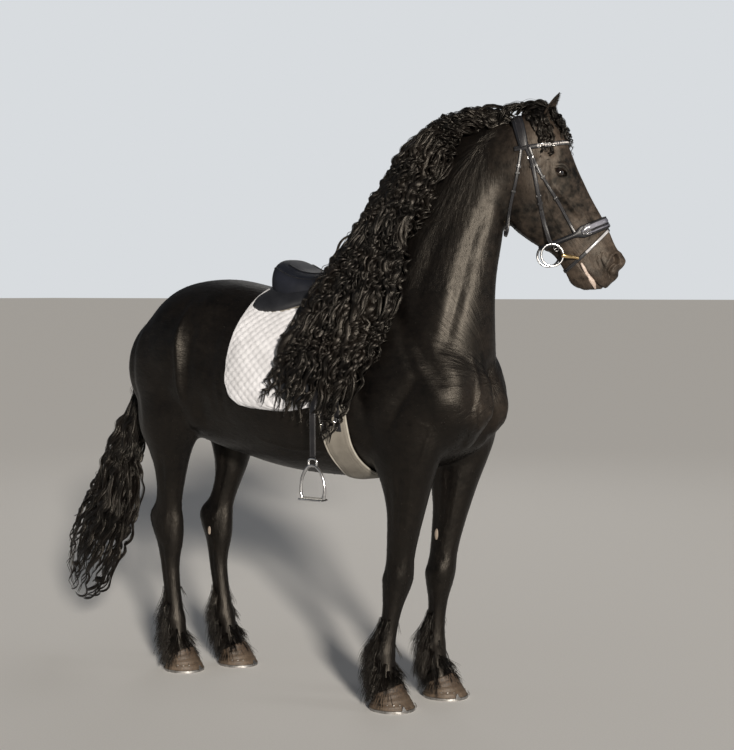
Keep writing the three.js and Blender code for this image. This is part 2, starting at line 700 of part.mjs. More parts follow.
// Stirrups hang outside the flaps
const STIRRUP = { x: 262, y: 352, top: 940, width: 118, height: 158, wire: 13, tread: 42 };
function iron(s, grow = 0) {
  const { width, height, wire } = STIRRUP;
  const half = width / 2 + grow;
  const curve = (points, count) =>
    new THREE.CubicBezierCurve(...points.map(([a, b]) => new THREE.Vector2(a, b)))
      .getPoints(count)
      .slice(1);
  const bow = (w, foot, rise, neck, head) => {
    const side = curve([[-w, foot], [-w, rise], [-neck, head - 18], [-neck, head]], 6);
    const mirror = side.map((p) => new THREE.Vector2(-p.x, p.y)).reverse();
    return [...side, ...mirror];
  };
  const outline = [
    new THREE.Vector2(half, -height - grow),
    new THREE.Vector2(-half, -height - grow),
    ...bow(half, -height + 62, -34, 22 + grow, 6 + grow),
  ];
  const arch = new THREE.Shape(outline.reverse());
  const inside = width / 2 - wire - grow;
  arch.holes.push(
    new THREE.Path([
      new THREE.Vector2(inside, -height + 14 + grow),
      new THREE.Vector2(-inside, -height + 14 + grow),
      ...bow(inside, -height + 60, -46, 12 - grow, -26 - grow),
    ]),
    new THREE.Path(
      [[-15, -14], [-15, -4], [15, -4], [15, -14]].map(
        ([a, b]) => new THREE.Vector2(a - Math.sign(a) * grow, b + (b < -10 ? grow : -grow)),
      ),
    ),
  );
  const g = new THREE.ExtrudeGeometry(arch, { depth: wire + 2 * grow, bevelEnabled: false });
  g.translate(0, 0, -wire / 2 - grow);
  g.applyMatrix4(
    new THREE.Matrix4()
      .makeBasis(vec(1, 0, 0), UP, vec(0, -1, 0))
      .setPosition(STIRRUP.x, s * STIRRUP.y, STIRRUP.top),
  );
  const tread = new THREE.BoxGeometry(width - 8, STIRRUP.tread, 12);
  tread.translate(STIRRUP.x, s * STIRRUP.y, STIRRUP.top - height + 7);
  return solid(g).add(solid(tread));
}
function leather(s, grow = 0) {
  const line = [[244, 1480], [250, 1300], [STIRRUP.x - 2, 1110], [STIRRUP.x, STIRRUP.top + 2]];
  const skirt = sidePrism(stripe(line, 26 + 2 * grow), s < 0 ? -500 : 1, s < 0 ? -1 : 500);
  const under = PAD_THICK + FLAP_THICK;
  const shell = trunkAt(under + 6 + grow).subtract(trunkAt(under + GAP - grow));
  const box = (thick, low, high) => {
    const g = new THREE.BoxGeometry(26 + 2 * grow, thick + 2 * grow, high - low + 2 * grow);
    g.translate(STIRRUP.x, s * STIRRUP.y, (low + high) / 2);
    return solid(g);
  };
  return skirt
    .intersect(shell)
    .intersect(half(vec(0, 0, 1130), UP))
    .add(box(6, STIRRUP.top + 8, STIRRUP.top + 262))
    .add(box(STIRRUP.wire + 9, STIRRUP.top - 13, STIRRUP.top + 12));
}
for (const [side, s] of [["right", -1], ["left", 1]]) {
  put("stirrup_iron_" + side, iron(s), STEEL);
  const both = taken.reduce((left, other) => left.subtract(other), leather(s));
  put("stirrup_leather_" + side, both.subtract(iron(s, GAP)), LEATHER);
  taken.push(iron(s, GAP), leather(s, GAP));
}

// Mane, forelock and tail go last, round everything else
const mane = union(MANE.map((rows) => lock(rows, 8)));
const around = [bodyClear, ...taken];
put("mane", around.reduce((left, other) => left.subtract(other), mane), HAIR);
put("tail", lock(TAIL, 13, 0, 0.55).subtract(bodyClear), HAIR);
const forelockRows = FORELOCK.map(([h, z, out, r]) => {
  const p = inHead(h, z, out);
  return [p.x, p.y, p.z, r];
});
put(
  "forelock",
  around.reduce((left, other) => left.subtract(other), lock(forelockRows, 7, 0, 0.7)),
  HAIR,
);

// Moves the whole object so that the middle of its bounding box stands on the origin
const root = new THREE.Group();
root.name = "friesian_horse";
for (const [name, { solid: shape, material }] of nodes) {
  const m = shape.getMesh();
  const g = new THREE.BufferGeometry();
  g.setAttribute("position", new THREE.BufferAttribute(m.vertProperties, 3));
  g.setIndex(new THREE.BufferAttribute(m.triVerts, 1));
  const mesh = new THREE.Mesh(g, material);
  mesh.name = name;
  root.add(mesh);
}
const box = new THREE.Box3().setFromObject(root);
const middle = box.getCenter(vec(0, 0, 0));
root.children.forEach((m) => m.geometry.translate(-middle.x, -middle.y, -box.min.z));

export default root;
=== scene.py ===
"""A Friesian horse, life-size and still, in dressage tack, dressed over its CAD solids."""

import logging
import math
from collections.abc import Iterator, Sequence
from contextlib import contextmanager
from dataclasses import dataclass, field
from enum import Enum

import bmesh
import bpy
import numpy as np
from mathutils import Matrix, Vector
from mathutils.bvhtree import BVHTree


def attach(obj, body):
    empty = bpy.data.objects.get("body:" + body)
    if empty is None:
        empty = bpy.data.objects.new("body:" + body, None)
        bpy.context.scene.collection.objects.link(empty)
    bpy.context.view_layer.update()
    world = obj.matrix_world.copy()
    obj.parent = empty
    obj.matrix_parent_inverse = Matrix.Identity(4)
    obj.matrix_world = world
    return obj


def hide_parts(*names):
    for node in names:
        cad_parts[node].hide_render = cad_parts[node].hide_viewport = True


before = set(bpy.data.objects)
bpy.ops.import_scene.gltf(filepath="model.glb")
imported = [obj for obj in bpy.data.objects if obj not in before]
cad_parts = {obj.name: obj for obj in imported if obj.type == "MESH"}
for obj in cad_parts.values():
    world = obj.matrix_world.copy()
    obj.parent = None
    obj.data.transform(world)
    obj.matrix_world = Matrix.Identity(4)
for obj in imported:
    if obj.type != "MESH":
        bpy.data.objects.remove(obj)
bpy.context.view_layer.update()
log = logging.getLogger("friesian")

Array = np.ndarray
Rows = Sequence[Sequence[float]]

# The horse's own frame is in millimetres; the row frame is shifted from it and in metres.
SHIFT = np.array([71.2277, 7.0532, 0.0])
POLL = np.array([870.0, 120.0, 0.0])
TURN = math.radians(33.8)
AHEAD = np.array([math.cos(TURN), math.sin(TURN), 0.0])
ASIDE = np.array([-math.sin(TURN), math.cos(TURN), 0.0])
UP = np.array([0.0, 0.0, 1.0])
COAT_DEPTH = 2.4
ALONG = np.array([1.0, 0, 0])
LEFT = np.array([0, 1.0, 0])
SIDES = {"right": -1, "left": 1}
LEGS = {
    "foreleg_right": (
        (0, 482, -152), (84, 460, -147), (205, 441, -136), (475, 480, -106), (740, 526, -124),
        (920, 546, -142), (1290, 570, -150),
    ),
    "foreleg_left": (
        (0, 551, 121), (84, 530, 119), (205, 514, 110), (475, 536, 108), (740, 574, 128), (920, 592, 144),
        (1290, 590, 150),
    ),
    "hindleg_right": (
        (0, -575, -100), (84, -597, -100), (205, -620, -97), (400, -645, -98), (622, -655, -100),
        (820, -636, -122), (990, -615, -158), (1250, -600, -170),
    ),
    "hindleg_left": (
        (0, -450, 100), (84, -478, 100), (205, -517, 98), (400, -550, 99), (622, -556, 102), (820, -512, 122),
        (990, -530, 158), (1250, -590, 170),
    ),
}
# Cross-sections of the body. Trunk: x, top, bottom, half width, height of the widest place, and roundness
# above and below.
TRUNK: Rows = (
    (-818, 1370, 1190, 70, 0.55, 2, 2), (-790, 1425, 1110, 140, 0.55, 2, 2),
    (-740, 1485, 1040, 200, 0.55, 2, 2), (-670, 1548, 985, 250, 0.56, 2, 2.1),
    (-590, 1592, 975, 282, 0.56, 2, 2.2), (-480, 1612, 945, 292, 0.54, 2, 2.2),
    (-360, 1612, 912, 285, 0.5, 2, 2.2), (-240, 1592, 888, 285, 0.46, 1.95, 2.2),
    (-120, 1566, 865, 303, 0.45, 1.95, 2.2), (0, 1553, 850, 312, 0.45, 1.9, 2.2),
    (120, 1560, 843, 305, 0.44, 1.8, 2.2), (230, 1592, 843, 285, 0.42, 1.7, 2.2),
    (320, 1640, 853, 262, 0.4, 1.6, 2.2), (420, 1650, 868, 250, 0.4, 1.7, 2.2),
    (530, 1610, 885, 245, 0.42, 1.9, 2.3), (640, 1530, 915, 232, 0.46, 2, 2.4),
    (740, 1420, 965, 204, 0.5, 2, 2.3), (800, 1330, 1030, 158, 0.5, 2, 2.2), (838, 1240, 1105, 88, 0.5, 2, 2),
)
# Neck: top x, y, z, underside x, y, z, half width, turn to the left in degrees, widest height.
NECK: Rows = (
    (330, 0, 1540, 790, 0, 1150, 185, 0, 0.5), (325, 0, 1640, 822, 0, 1265, 182, 0, 0.45),
    (338, 2, 1735, 828, 0, 1400, 160, 3, 0.42), (362, 8, 1835, 826, 14, 1520, 140, 8, 0.42),
    (408, 22, 1940, 826, 36, 1625, 126, 15, 0.42), (476, 40, 2040, 830, 60, 1712, 117, 22, 0.42),
    (570, 62, 2122, 832, 80, 1778, 110, 28, 0.42), (680, 84, 2178, 832, 98, 1840, 102, 32, 0.42),
    (790, 108, 2200, 862, 112, 1900, 96, 33.8, 0.45), (880, 130, 2190, 905, 130, 1960, 84, 33.8, 0.5),
)
# Head in its own plane: forehead side h, z, jaw side h, z, half width, widest height, and roundness of the
# face and jaw.
HEAD: Rows = (
    (19, 2222, -66, 2120, 62, 0.5, 2, 2), (83, 2234, -76, 2010, 86, 0.55, 2.1, 2),
    (132, 2218, -72, 1915, 97, 0.6, 2.3, 2), (169, 2160, -56, 1849, 103, 0.64, 2.5, 2),
    (199, 2085, -32, 1796, 103, 0.66, 2.6, 2), (222, 2025, 8, 1762, 94, 0.66, 2.6, 2),
    (248, 1969, 50, 1734, 80, 0.66, 2.5, 2), (274, 1916, 84, 1714, 68, 0.62, 2.4, 2),
    (300, 1868, 115, 1697, 60, 0.58, 2.3, 2), (327, 1820, 142, 1674, 55, 0.55, 2.2, 2.1),
    (349, 1774, 164, 1650, 53, 0.55, 2.2, 2.1), (368, 1732, 182, 1620, 53, 0.58, 2.3, 2.1),
    (387, 1702, 194, 1594, 53, 0.6, 2.3, 2.1), (402, 1672, 213, 1577, 50, 0.6, 2.2, 2),
    (392, 1642, 243, 1568, 43, 0.55, 2, 2), (370, 1609, 277, 1566, 33, 0.5, 2, 2),
    (343, 1582, 306, 1569, 18, 0.5, 2, 2),
)
# Legs: height, reach forward and backward from the leg's line, half width.
SHANKS = {
    "fore": (
        (40, 44, -80, 52), (62, 50, -72, 55), (84, 52, -50, 52), (112, 44, -42, 43), (160, 39, -43, 38),
        (205, 43, -52, 40), (245, 37, -46, 36), (310, 36, -42, 33), (375, 42, -44, 37), (420, 52, -52, 46),
        (465, 62, -60, 53), (510, 62, -58, 52), (560, 59, -57, 49), (640, 66, -64, 54), (740, 82, -76, 64),
        (840, 105, -104, 78), (920, 130, -145, 88), (1020, 165, -170, 94), (1150, 175, -165, 90),
        (1290, 120, -130, 60),
    ),
    "hind": (
        (40, 44, -76, 52), (62, 50, -70, 55), (84, 52, -50, 52), (112, 45, -42, 44), (160, 40, -44, 38),
        (205, 44, -50, 40), (245, 38, -44, 35), (310, 36, -42, 33), (400, 38, -46, 34), (460, 46, -52, 38),
        (520, 62, -64, 45), (575, 70, -86, 49), (622, 70, -96, 48), (670, 62, -74, 46), (735, 66, -60, 52),
        (820, 82, -68, 66), (900, 104, -78, 84), (990, 160, -125, 100), (1100, 225, -150, 104),
        (1250, 225, -165, 80),
    ),
}
# Heights and places that several pieces share, in millimetres.
TRUNK_AXIS = 1250.0
GIRTH_AXIS = np.array([290.0, 0, TRUNK_AXIS])
MUZZLE = (330, 1645)
WHOLE_HEAD, BEHIND_JAW = 300, -62
BESIDE_CHEEK = 66
SOLE, CORONET = 8, 84
# Rounded masses: middle x, y, z and radii, each with its mirror image.
MASSES: Rows = (
    (600, 140, 1170, 190, 96, 175), (770, 66, 1140, 80, 80, 120), (-585, 150, 1250, 225, 128, 240),
    (-400, 180, 1120, 110, 84, 128),
)


def row(points: Array | Sequence) -> Array:
    """Takes points from the horse's own frame to the row frame.

    Args:
        points: Millimetres in the horse's frame, any shape ending in 3.

    Returns:
        Metres in the row frame.
    """
    return (np.asarray(points, float) + SHIFT) / 1000


def own(points: Array) -> Array:
    """Takes points from the row frame back to the horse's frame, in millimetres."""
    return np.asarray(points, float) * 1000 - SHIFT


def in_head(h: Array | float, z: Array | float, out: Array | float) -> Array:
    """Gives points of the head's own plane in the horse's frame.

    Args:
        h: Millimetres forward from the poll, along the head's plane.
        z: Height.
        out: Millimetres to the left of that plane.

    Returns:
        Points in the horse's frame, in millimetres.
    """
    h, z, out = np.broadcast_arrays(np.asarray(h, float), z, out)
    return POLL + h[..., None] * AHEAD + out[..., None] * ASIDE + z[..., None] * UP


def head_coords(p: Array) -> tuple[Array, Array, Array]:
    """Splits points of the horse's frame into forward, height and out of the head's plane."""
    d = p - POLL
    return d @ AHEAD, p[:, 2], d @ ASIDE


def step(low: float, high: float, x: Array | float) -> Array:
    """Rises smoothly from 0 at low to 1 at high."""
    t = np.clip((np.asarray(x, float) - low) / (high - low), 0, 1)
    return t * t * (3 - 2 * t)


def unit(v: Array) -> Array:
    """Scales vectors to length 1."""
    return v / np.maximum(np.linalg.norm(v, axis=-1, keepdims=True), 1e-12)


def lengths(line: Array) -> Array:
    """Gives how far along a line each of its points lies."""
    return np.concatenate([[0], np.cumsum(np.linalg.norm(np.diff(line, axis=0), axis=1))])


def follow(points: Rows | Array, count: int) -> Array:
    """Runs a smooth curve through a few points.

    Args:
        points: Rows of numbers; the first three place the point along the curve's length.
        count: How many rows to return.

    Returns:
        Rows evenly spaced along the curve.
    """
    p = np.asarray(points, float)
    p = np.vstack([2 * p[0] - p[1], p, 2 * p[-1] - p[-2]])
    t = np.linspace(0, 1, 9)[:-1][:, None]
    fine = []
    for a, b, c, d in zip(p, p[1:], p[2:], p[3:]):
        fine.append(
            0.5 * (2 * b + (c - a) * t + (2 * a - 5 * b + 4 * c - d) * t**2 + (3 * b - a - 3 * c + d) * t**3)
        )
    q = np.vstack([*fine, p[-2:-1]])
    s = lengths(q[:, :3])
    at = np.linspace(0, s[-1], count)
    return np.stack([np.interp(at, s, q[:, k]) for k in range(q.shape[1])], 1)


def resample(rows: Rows, count: int) -> Array:
    """Runs smooth curves through the columns of a table.

    Args:
        rows: Rows of numbers.
        count: How many rows to return.

    Returns:
        The finer table.
    """
    p = np.asarray(rows, float)
    q = np.vstack([2 * p[0] - p[1], p, 2 * p[-1] - p[-2]])
    u = np.linspace(0, len(p) - 1, count)
    i = np.minimum(u.astype(int), len(p) - 2)
    t = (u - i)[:, None]
    a, b, c, d = q[i], q[i + 1], q[i + 2], q[i + 3]
    return 0.5 * (2 * b + (c - a) * t + (2 * a - 5 * b + 4 * c - d) * t**2 + (3 * b - a - 3 * c + d) * t**3)


def loft(
    name: str, a: Array, b: Array, side: Array, shape: Array, dome: tuple[float, float] = (0.0, 0.0),
    sides: int = 72,
) -> bpy.types.Object:
    """Makes a smooth body through cross-sections, with domed ends.

    Args:
        name: Its name.
        a: Top or front of each section, in the horse's frame.
        b: Bottom or back of each.
        side: The way each is wide.
        shape: Half width, height of the widest place, and roundness on both sides.
        dome: Height of the dome at each end.
        sides: Number of sides.

    Returns:
        The object.
    """
    w, belt, et, eb = shape.T[..., None]
    up = a - b
    tall = np.linalg.norm(up, axis=1)[:, None]
    up = up / tall
    centre = b + up * tall * belt
    ang = 2 * np.pi * (np.arange(sides) + 0.5) / sides
    c, v = np.cos(ang)[None], np.sin(ang)[None]
    e = 2 / np.where(v > 0, et, eb)
    across = w * np.sign(c) * np.abs(c) ** e
    along = np.where(v > 0, tall * (1 - belt), tall * belt) * np.sign(v) * np.abs(v) ** e
    rings = centre[:, None] + across[..., None] * side[:, None] + along[..., None] * up[:, None]
    for end, nxt, depth in ((0, 1, dome[0]), (-1, -2, dome[1])):
        if depth:
            hub = rings[end].mean(0)
            way = unit(hub - rings[nxt].mean(0))
            more = [
                hub + (rings[end] - hub) * math.cos(f) + way * depth * math.sin(f)
                for f in np.linspace(0.2, 1.45, 8)
            ]
            rings = np.concatenate([more[::-1], rings]) if end == 0 else np.concatenate([rings, more])
    return sweep(name, rings, False)


def read_off(table: Rows, at: Array | float) -> Array:
    """Reads the other columns of a table at values of its first column.

    Args:
        table: Rows sorted by their first number.
        at: Values of the first number.

    Returns:
        The other columns, along the last axis.
    """
    t = np.asarray(table, float)
    return np.stack([np.interp(at, t[:, 0], t[:, k]) for k in range(1, t.shape[1])], -1)


def leg_centre(leg: str, z: Array | float) -> Array:
    """Gives the points on a leg's centre line at heights z, in the horse's frame."""
    xy = read_off(LEGS[leg], z)
    return np.concatenate([xy, np.asarray(z, float)[..., None]], -1)


# Making and dressing meshes


def alone(obj: bpy.types.Object) -> bpy.types.Object:
    """Selects one object and nothing else, and makes it active."""
    if bpy.context.object and bpy.context.object.mode != "OBJECT":
        bpy.ops.object.mode_set(mode="OBJECT")
    bpy.ops.object.select_all(action="DESELECT")
    obj.select_set(True)
    bpy.context.view_layer.objects.active = obj
    return obj


def settle(obj: bpy.types.Object) -> bpy.types.Object:
    """Puts an object's place, turn and scale into its mesh."""
    alone(obj)
    bpy.ops.object.transform_apply(location=True, rotation=True, scale=True)
    return obj


def finish_with(obj: bpy.types.Object, kind: str, **settings: object) -> bpy.types.Object:
    """Adds a modifier and applies it.

    Args:
        obj: The mesh object.
        kind: Blender's name of the modifier type.
        **settings: Its properties.

    Returns:
        The same object.
    """
    alone(obj)
    mod = obj.modifiers.new(kind.lower(), kind)
    for key, value in settings.items():
        setattr(mod, key, value)
    bpy.ops.object.modifier_apply(modifier=mod.name)
    return obj


@contextmanager
def edited(obj: bpy.types.Object) -> Iterator[bmesh.types.BMesh]:
    """Opens an object's mesh for editing in code, and writes it back."""
    bm = bmesh.new()
    bm.from_mesh(obj.data)
    yield bm
    bm.to_mesh(obj.data)
    bm.free()


def face_out(obj: bpy.types.Object) -> bpy.types.Object:
    """Turns all the faces of a closed mesh outwards."""
    with edited(obj) as bm:
        bmesh.ops.recalc_face_normals(bm, faces=bm.faces)
    return obj


def primitive(kind: str, **sizes: object) -> bpy.types.Object:
    """Adds one of Blender's primitives, the only object selected."""
    bpy.ops.object.select_all(action="DESELECT")
    getattr(bpy.ops.mesh, f"primitive_{kind}_add")(**sizes)
    return settle(bpy.context.object)


def named(obj: bpy.types.Object, name: str) -> bpy.types.Object:
    """Names an object and its mesh."""
    obj.name = obj.data.name = name
    return obj


def join(objs: Sequence[bpy.types.Object], name: str) -> bpy.types.Object:
    """Joins objects into the first one and names it."""
    alone(objs[0])
    for o in objs[1:]:
        o.select_set(True)
    if len(objs) > 1:
        bpy.ops.object.join()
    return named(objs[0], name)


def mesh_object(
    name: str, verts: Array, faces: Array, maps: dict[str, Array] | None = None, smooth: bool = True
) -> bpy.types.Object:
    """Makes a mesh object from arrays.

    Args:
        name: Its name.
        verts: Points in the row frame, in metres.
        faces: Vertex numbers, one row for each face, all of one length.
        maps: UV maps by name, one pair for each corner of each face.
        smooth: Whether it is shaded smooth.

    Returns:
        The object, at the origin.
    """
    me = bpy.data.meshes.new(name)
    me.vertices.add(len(verts))
    me.vertices.foreach_set("co", np.ascontiguousarray(verts, np.float32).ravel())
    me.loops.add(faces.size)
    me.loops.foreach_set("vertex_index", np.ascontiguousarray(faces, np.int32).ravel())
    me.polygons.add(len(faces))
    me.polygons.foreach_set("loop_start", np.arange(0, faces.size, faces.shape[1], dtype=np.int32))
    me.update(calc_edges=True)
    me.polygons.foreach_set("use_smooth", np.full(len(faces), smooth))
    obj = bpy.data.objects.new(name, me)
    for key, uv in (maps or {}).items():
        lay_map(obj, key, uv)
    bpy.context.scene.collection.objects.link(obj)
    return obj


def corners_of(obj: bpy.types.Object) -> Array:
    """Reads the vertex number of each corner of an object's faces."""
    out = np.zeros(len(obj.data.loops), np.int32)
    obj.data.loops.foreach_get("vertex_index", out)
    return out


def lay_map(obj: bpy.types.Object, name: str, uv: Array) -> None:
    """Gives an object a UV map, one pair for each corner."""
    layer = obj.data.uv_layers.new(name=name)
    layer.data.foreach_set("uv", np.ascontiguousarray(uv, np.float32).ravel())


def points_of(obj: bpy.types.Object, what: str = "co") -> Array:
    """Reads an object's vertex places, or its normals."""
    out = np.zeros(len(obj.data.vertices) * 3, np.float32)
    if what == "co":
        obj.data.vertices.foreach_get("co", out)
    else:
        obj.data.vertex_normals.foreach_get("vector", out)
    return out.reshape(-1, 3).astype(float)


def put_points(obj: bpy.types.Object, co: Array) -> None:
    """Writes an object's vertex places."""
    obj.data.vertices.foreach_set("co", np.ascontiguousarray(co, np.float32).ravel())
    obj.data.update()


def relax(obj: bpy.types.Object, times: int, weight: Array | float = 1.0) -> None:
    """Smooths a mesh and gives back what it shrank.

    Args:
        obj: The mesh object.
        times: How often each point moves towards its neighbours.
        weight: How far each point may move, from 0 to 1.
    """
    e = np.zeros(len(obj.data.edges) * 2, np.int32)
    obj.data.edges.foreach_get("vertices", e)
    e = e.reshape(-1, 2)
    n = len(obj.data.vertices)
    a, b = np.concatenate([e[:, 0], e[:, 1]]), np.concatenate([e[:, 1], e[:, 0]])
    count = np.maximum(np.bincount(a, minlength=n), 1)[:, None]
    w = 0.5 * np.broadcast_to(np.asarray(weight, float), (n,))[:, None]

    def settled(v: Array) -> Array:
        """Gives rows of numbers after all the moves."""
        for _ in range(times):
            v = v + w * (np.stack([np.bincount(a, v[b, k], n) for k in range(3)], 1) / count - v)
        return v

    co = points_of(obj)
    smooth = settled(co)
    put_points(obj, smooth + settled(co - smooth))


def shown(obj: bpy.types.Object, finish: "Finish", slot: str, *nodes: str) -> bpy.types.Object:
    """Dresses a finished piece and sets it in the frame.

    Args:
        obj: The piece.
        finish: Its finish.
        slot: Its material slot; not used.
        *nodes: The CAD nodes that it replaces.

    Returns:
        The same piece.
    """
    obj.data.materials.clear()
    obj.data.materials.append(finish.material())
    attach(obj, "root")
    if nodes:
        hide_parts(*nodes)
    obj.data.calc_loop_triangles()
    log.info("%s: %d triangles", obj.name, len(obj.data.loop_triangles))
    return obj


# Finishes


class Pattern(Enum):
    """What runs over a finish."""

    COAT = "coat"
    LOCKS = "locks"
    STRAP = "strap"
    HIDE = "hide"
    CLOTH = "cloth"
    HORN = "horn"
    METAL = "metal"
    EYE = "eye"
    PLAIN = "plain"


@dataclass(frozen=True)
class Finish:
    """One procedural finish.

    Attributes:
        name: Name of its material.
        pattern: What runs over it.
        dark: Colour of its darker places.
        light: Colour of its lighter places.
        rough: Roughness, from its smoothest to its roughest places.
        bump: Height of its relief in metres.
        metal: 1 for metal.
        sheen: Strength of its soft edge light.
        gloss: Strength of its clear coat.
        specular: Strength of its mirror reflection, 0.5 as a rule.
        glint: Tint of that reflection.
        width: Half the width of a strap, where stitches follow its edges.
        thread: Colour of its stitches.
    """

    name: str
    pattern: Pattern
    dark: tuple[float, float, float]
    light: tuple[float, float, float]
    rough: tuple[float, float] = (0.4, 0.5)
    bump: float = 0.0004
    metal: float = 0.0
    sheen: float = 0.0
    gloss: float = 0.0
    specular: float = 0.5
    glint: tuple[float, float, float] = (1.0, 1.0, 1.0)
    width: float = 0.0
    thread: tuple[float, float, float] = (0.02, 0.02, 0.024)

    def material(self) -> bpy.types.Material:
        """Gives the Blender material, made on first use."""
        known = bpy.data.materials.get(self.name)
        return known or Mixer(self).mix()


class Mixer:
    """Builds one finish as a node tree."""

    def __init__(self, finish: Finish) -> None:
        """Starts the tree with its shader."""
        self.f = finish
        self.mat = bpy.data.materials.new(finish.name)
        self.mat.use_nodes = True
        self.tree = self.mat.node_tree
        self.shader = self.tree.nodes["Principled BSDF"]
        self.shader.inputs["Metallic"].default_value = finish.metal
        self.shader.inputs["Sheen Weight"].default_value = finish.sheen
        self.shader.inputs["Sheen Roughness"].default_value = 0.4
        self.shader.inputs["Coat Weight"].default_value = finish.gloss
        self.shader.inputs["Coat Roughness"].default_value = 0.12
        self.shader.inputs["Specular IOR Level"].default_value = finish.specular
        self.shader.inputs["Specular Tint"].default_value = (*finish.glint, 1)
        self.coords = self.tree.nodes.new("ShaderNodeTexCoord").outputs["Object"]

    def node(self, kind: str, **sockets: object) -> bpy.types.Node:
        """Adds a node and links or sets its sockets.

        Args:
            kind: The node's type without its ShaderNode prefix.
            **sockets: Sockets by name; an output is linked and a value is set. Names in lower case are
                properties.

        Returns:
            The node.
        """
        n = self.tree.nodes.new("ShaderNode" + kind)
        for key, value in sockets.items():
            if key[0].islower():
                setattr(n, key, value)
                continue
            spot = (
                n.inputs[int(key[1:])] if key[0] == "I" and key[1:].isdigit()
                else n.inputs[key.replace("_", " ")]
            )
            if isinstance(value, bpy.types.NodeSocket):
                self.tree.links.new(value, spot)
            else:
                spot.default_value = value
        return n

    def uv(self, name: str) -> bpy.types.NodeSocket:
        """Gives a UV map's output."""
        return self.node("UVMap", uv_map=name).outputs["UV"]

    def scaled(self, source: bpy.types.NodeSocket, scale: tuple[float, float, float]) -> bpy.types.NodeSocket:
        """Stretches coordinates."""
        return self.node("Mapping", Vector=source, Scale=scale).outputs["Vector"]

    def noise(
        self, source: bpy.types.NodeSocket, scale: float, detail: float = 3, rough: float = 0.55
    ) -> bpy.types.NodeSocket:
        """Gives soft noise from 0 to 1 at so many features to a metre."""
        return self.node(
            "TexNoise", Vector=source, Scale=scale, Detail=detail, Roughness=rough
        ).outputs["Fac"]

    def spread(
        self, value: bpy.types.NodeSocket, low: float, high: float, to_low: float = 0, to_high: float = 1
    ) -> bpy.types.NodeSocket:
        """Maps a range of values to another."""
        return self.node(
            "MapRange", Value=value, From_Min=low, From_Max=high, To_Min=to_low, To_Max=to_high
        ).outputs["Result"]

    def sum_of(self, kind: str, a: object, b: object = 0.0, c: object = 0.0) -> bpy.types.NodeSocket:
        """Does sums on sockets or numbers."""
        return self.node("Math", operation=kind, I0=a, I1=b, I2=c).outputs[0]

    def tint(self, value: bpy.types.NodeSocket, a: object, b: object) -> bpy.types.NodeSocket:
        """Mixes two colours by a value."""
        n = self.tree.nodes.new("ShaderNodeMix")
        n.data_type = "RGBA"
        self.tree.links.new(value, n.inputs[0])
        for spot, colour in ((n.inputs[6], a), (n.inputs[7], b)):
            if isinstance(colour, bpy.types.NodeSocket):
                self.tree.links.new(colour, spot)
            else:
                spot.default_value = (*colour, 1)
        return n.outputs[2]

    def wear(
        self, colour: bpy.types.NodeSocket, rough: bpy.types.NodeSocket, height: bpy.types.NodeSocket,
        bump: float | None = None,
    ) -> None:
        """Links colour, roughness and relief to the shader.

        Args:
            colour: Base colour.
            rough: Value from 0 to 1 between the finish's two roughnesses.
            height: Relief from 0 to 1.
            bump: Its height in metres, if not the finish's own.
        """
        links = self.tree.links
        links.new(colour, self.shader.inputs["Base Color"])
        links.new(self.spread(rough, 0, 1, *self.f.rough), self.shader.inputs["Roughness"])
        b = self.node("Bump", Height=height, Distance=self.f.bump if bump is None else bump, Strength=1.0)
        links.new(b.outputs["Normal"], self.shader.inputs["Normal"])

    def stitches(self, uv: bpy.types.NodeSocket, inset: float, pitch: float = 0.0055) -> bpy.types.NodeSocket:
        """Gives 1 on the stitches along a strap's two edges.

        Args:
            uv: Coordinates in metres, across the strap and along it.
            inset: How far the seam lies from the middle.
            pitch: Length of a stitch with its gap.

        Returns:
            The mask.
        """
        parts = self.node("SeparateXYZ", Vector=uv).outputs
        off = self.sum_of("ABSOLUTE", self.sum_of("SUBTRACT", self.sum_of("ABSOLUTE", parts["X"]), inset))
        near = self.spread(off, 0.0006, 0.001, 1, 0)
        dash = self.sum_of("FRACT", self.sum_of("DIVIDE", parts["Y"], pitch))
        on = self.spread(self.sum_of("ABSOLUTE", self.sum_of("SUBTRACT", dash, 0.5)), 0.3, 0.36, 1, 0)
        return self.sum_of("MULTIPLY", near, on)

    def mix(self) -> bpy.types.Material:
        """Builds the tree for the finish's pattern."""
        getattr(self, "mix_" + self.f.pattern.value)()
        return self.mat

    def mix_coat(self) -> None:
        """Short glossy hair: fine streaks along the lie of the coat, and a warmer tone in random patches,
        scaled up towards the face as painted light.
        """
        f, o = self.f, self.coords
        lie = self.uv("Lie")
        fine = self.noise(self.scaled(lie, (1, 0.09, 1)), 900, 2, 0.7)
        lock = self.noise(self.scaled(lie, (1, 0.16, 1)), 240, 3, 0.6)
        tone = self.noise(o, 5, 4, 0.6)
        mottle = self.noise(o, 38, 3, 0.6)
        patch = self.sum_of("MULTIPLY_ADD", mottle, 0.4, self.sum_of("MULTIPLY", tone, 0.6))
        # Painted light: the warm patches are weighted from 0.05 on the body up to 1 on the face, so the face
        # reads brighter, as if sunlit. The patches themselves are the coat's own tone.
        front = self.spread(self.node("SeparateXYZ", Vector=o).outputs["X"], 0.86, 1.12, 0.05, 1.0)
        patch_tone_and_face_light = self.tint(self.sum_of("MULTIPLY", self.spread(patch, 0.36, 0.66), front), f.dark, f.light)
        deep = self.tint(self.spread(fine, 0.35, 0.75, 0, 0.6), patch_tone_and_face_light, f.dark)
        swirl = self.noise(self.scaled(lie, (1, 0.45, 1)), 17, 3, 0.55)
        rough = self.sum_of(
            "MULTIPLY_ADD", mottle, 0.5,
            self.sum_of("MULTIPLY_ADD", fine, 0.35, self.sum_of("MULTIPLY_ADD", front, 0.5, -0.25)),
        )
        high = self.sum_of(
            "MULTIPLY_ADD", lock, 0.8,
            self.sum_of("MULTIPLY_ADD", fine, 0.45, self.sum_of("MULTIPLY", swirl, 6.0)),
        )
        self.wear(deep, rough, high)

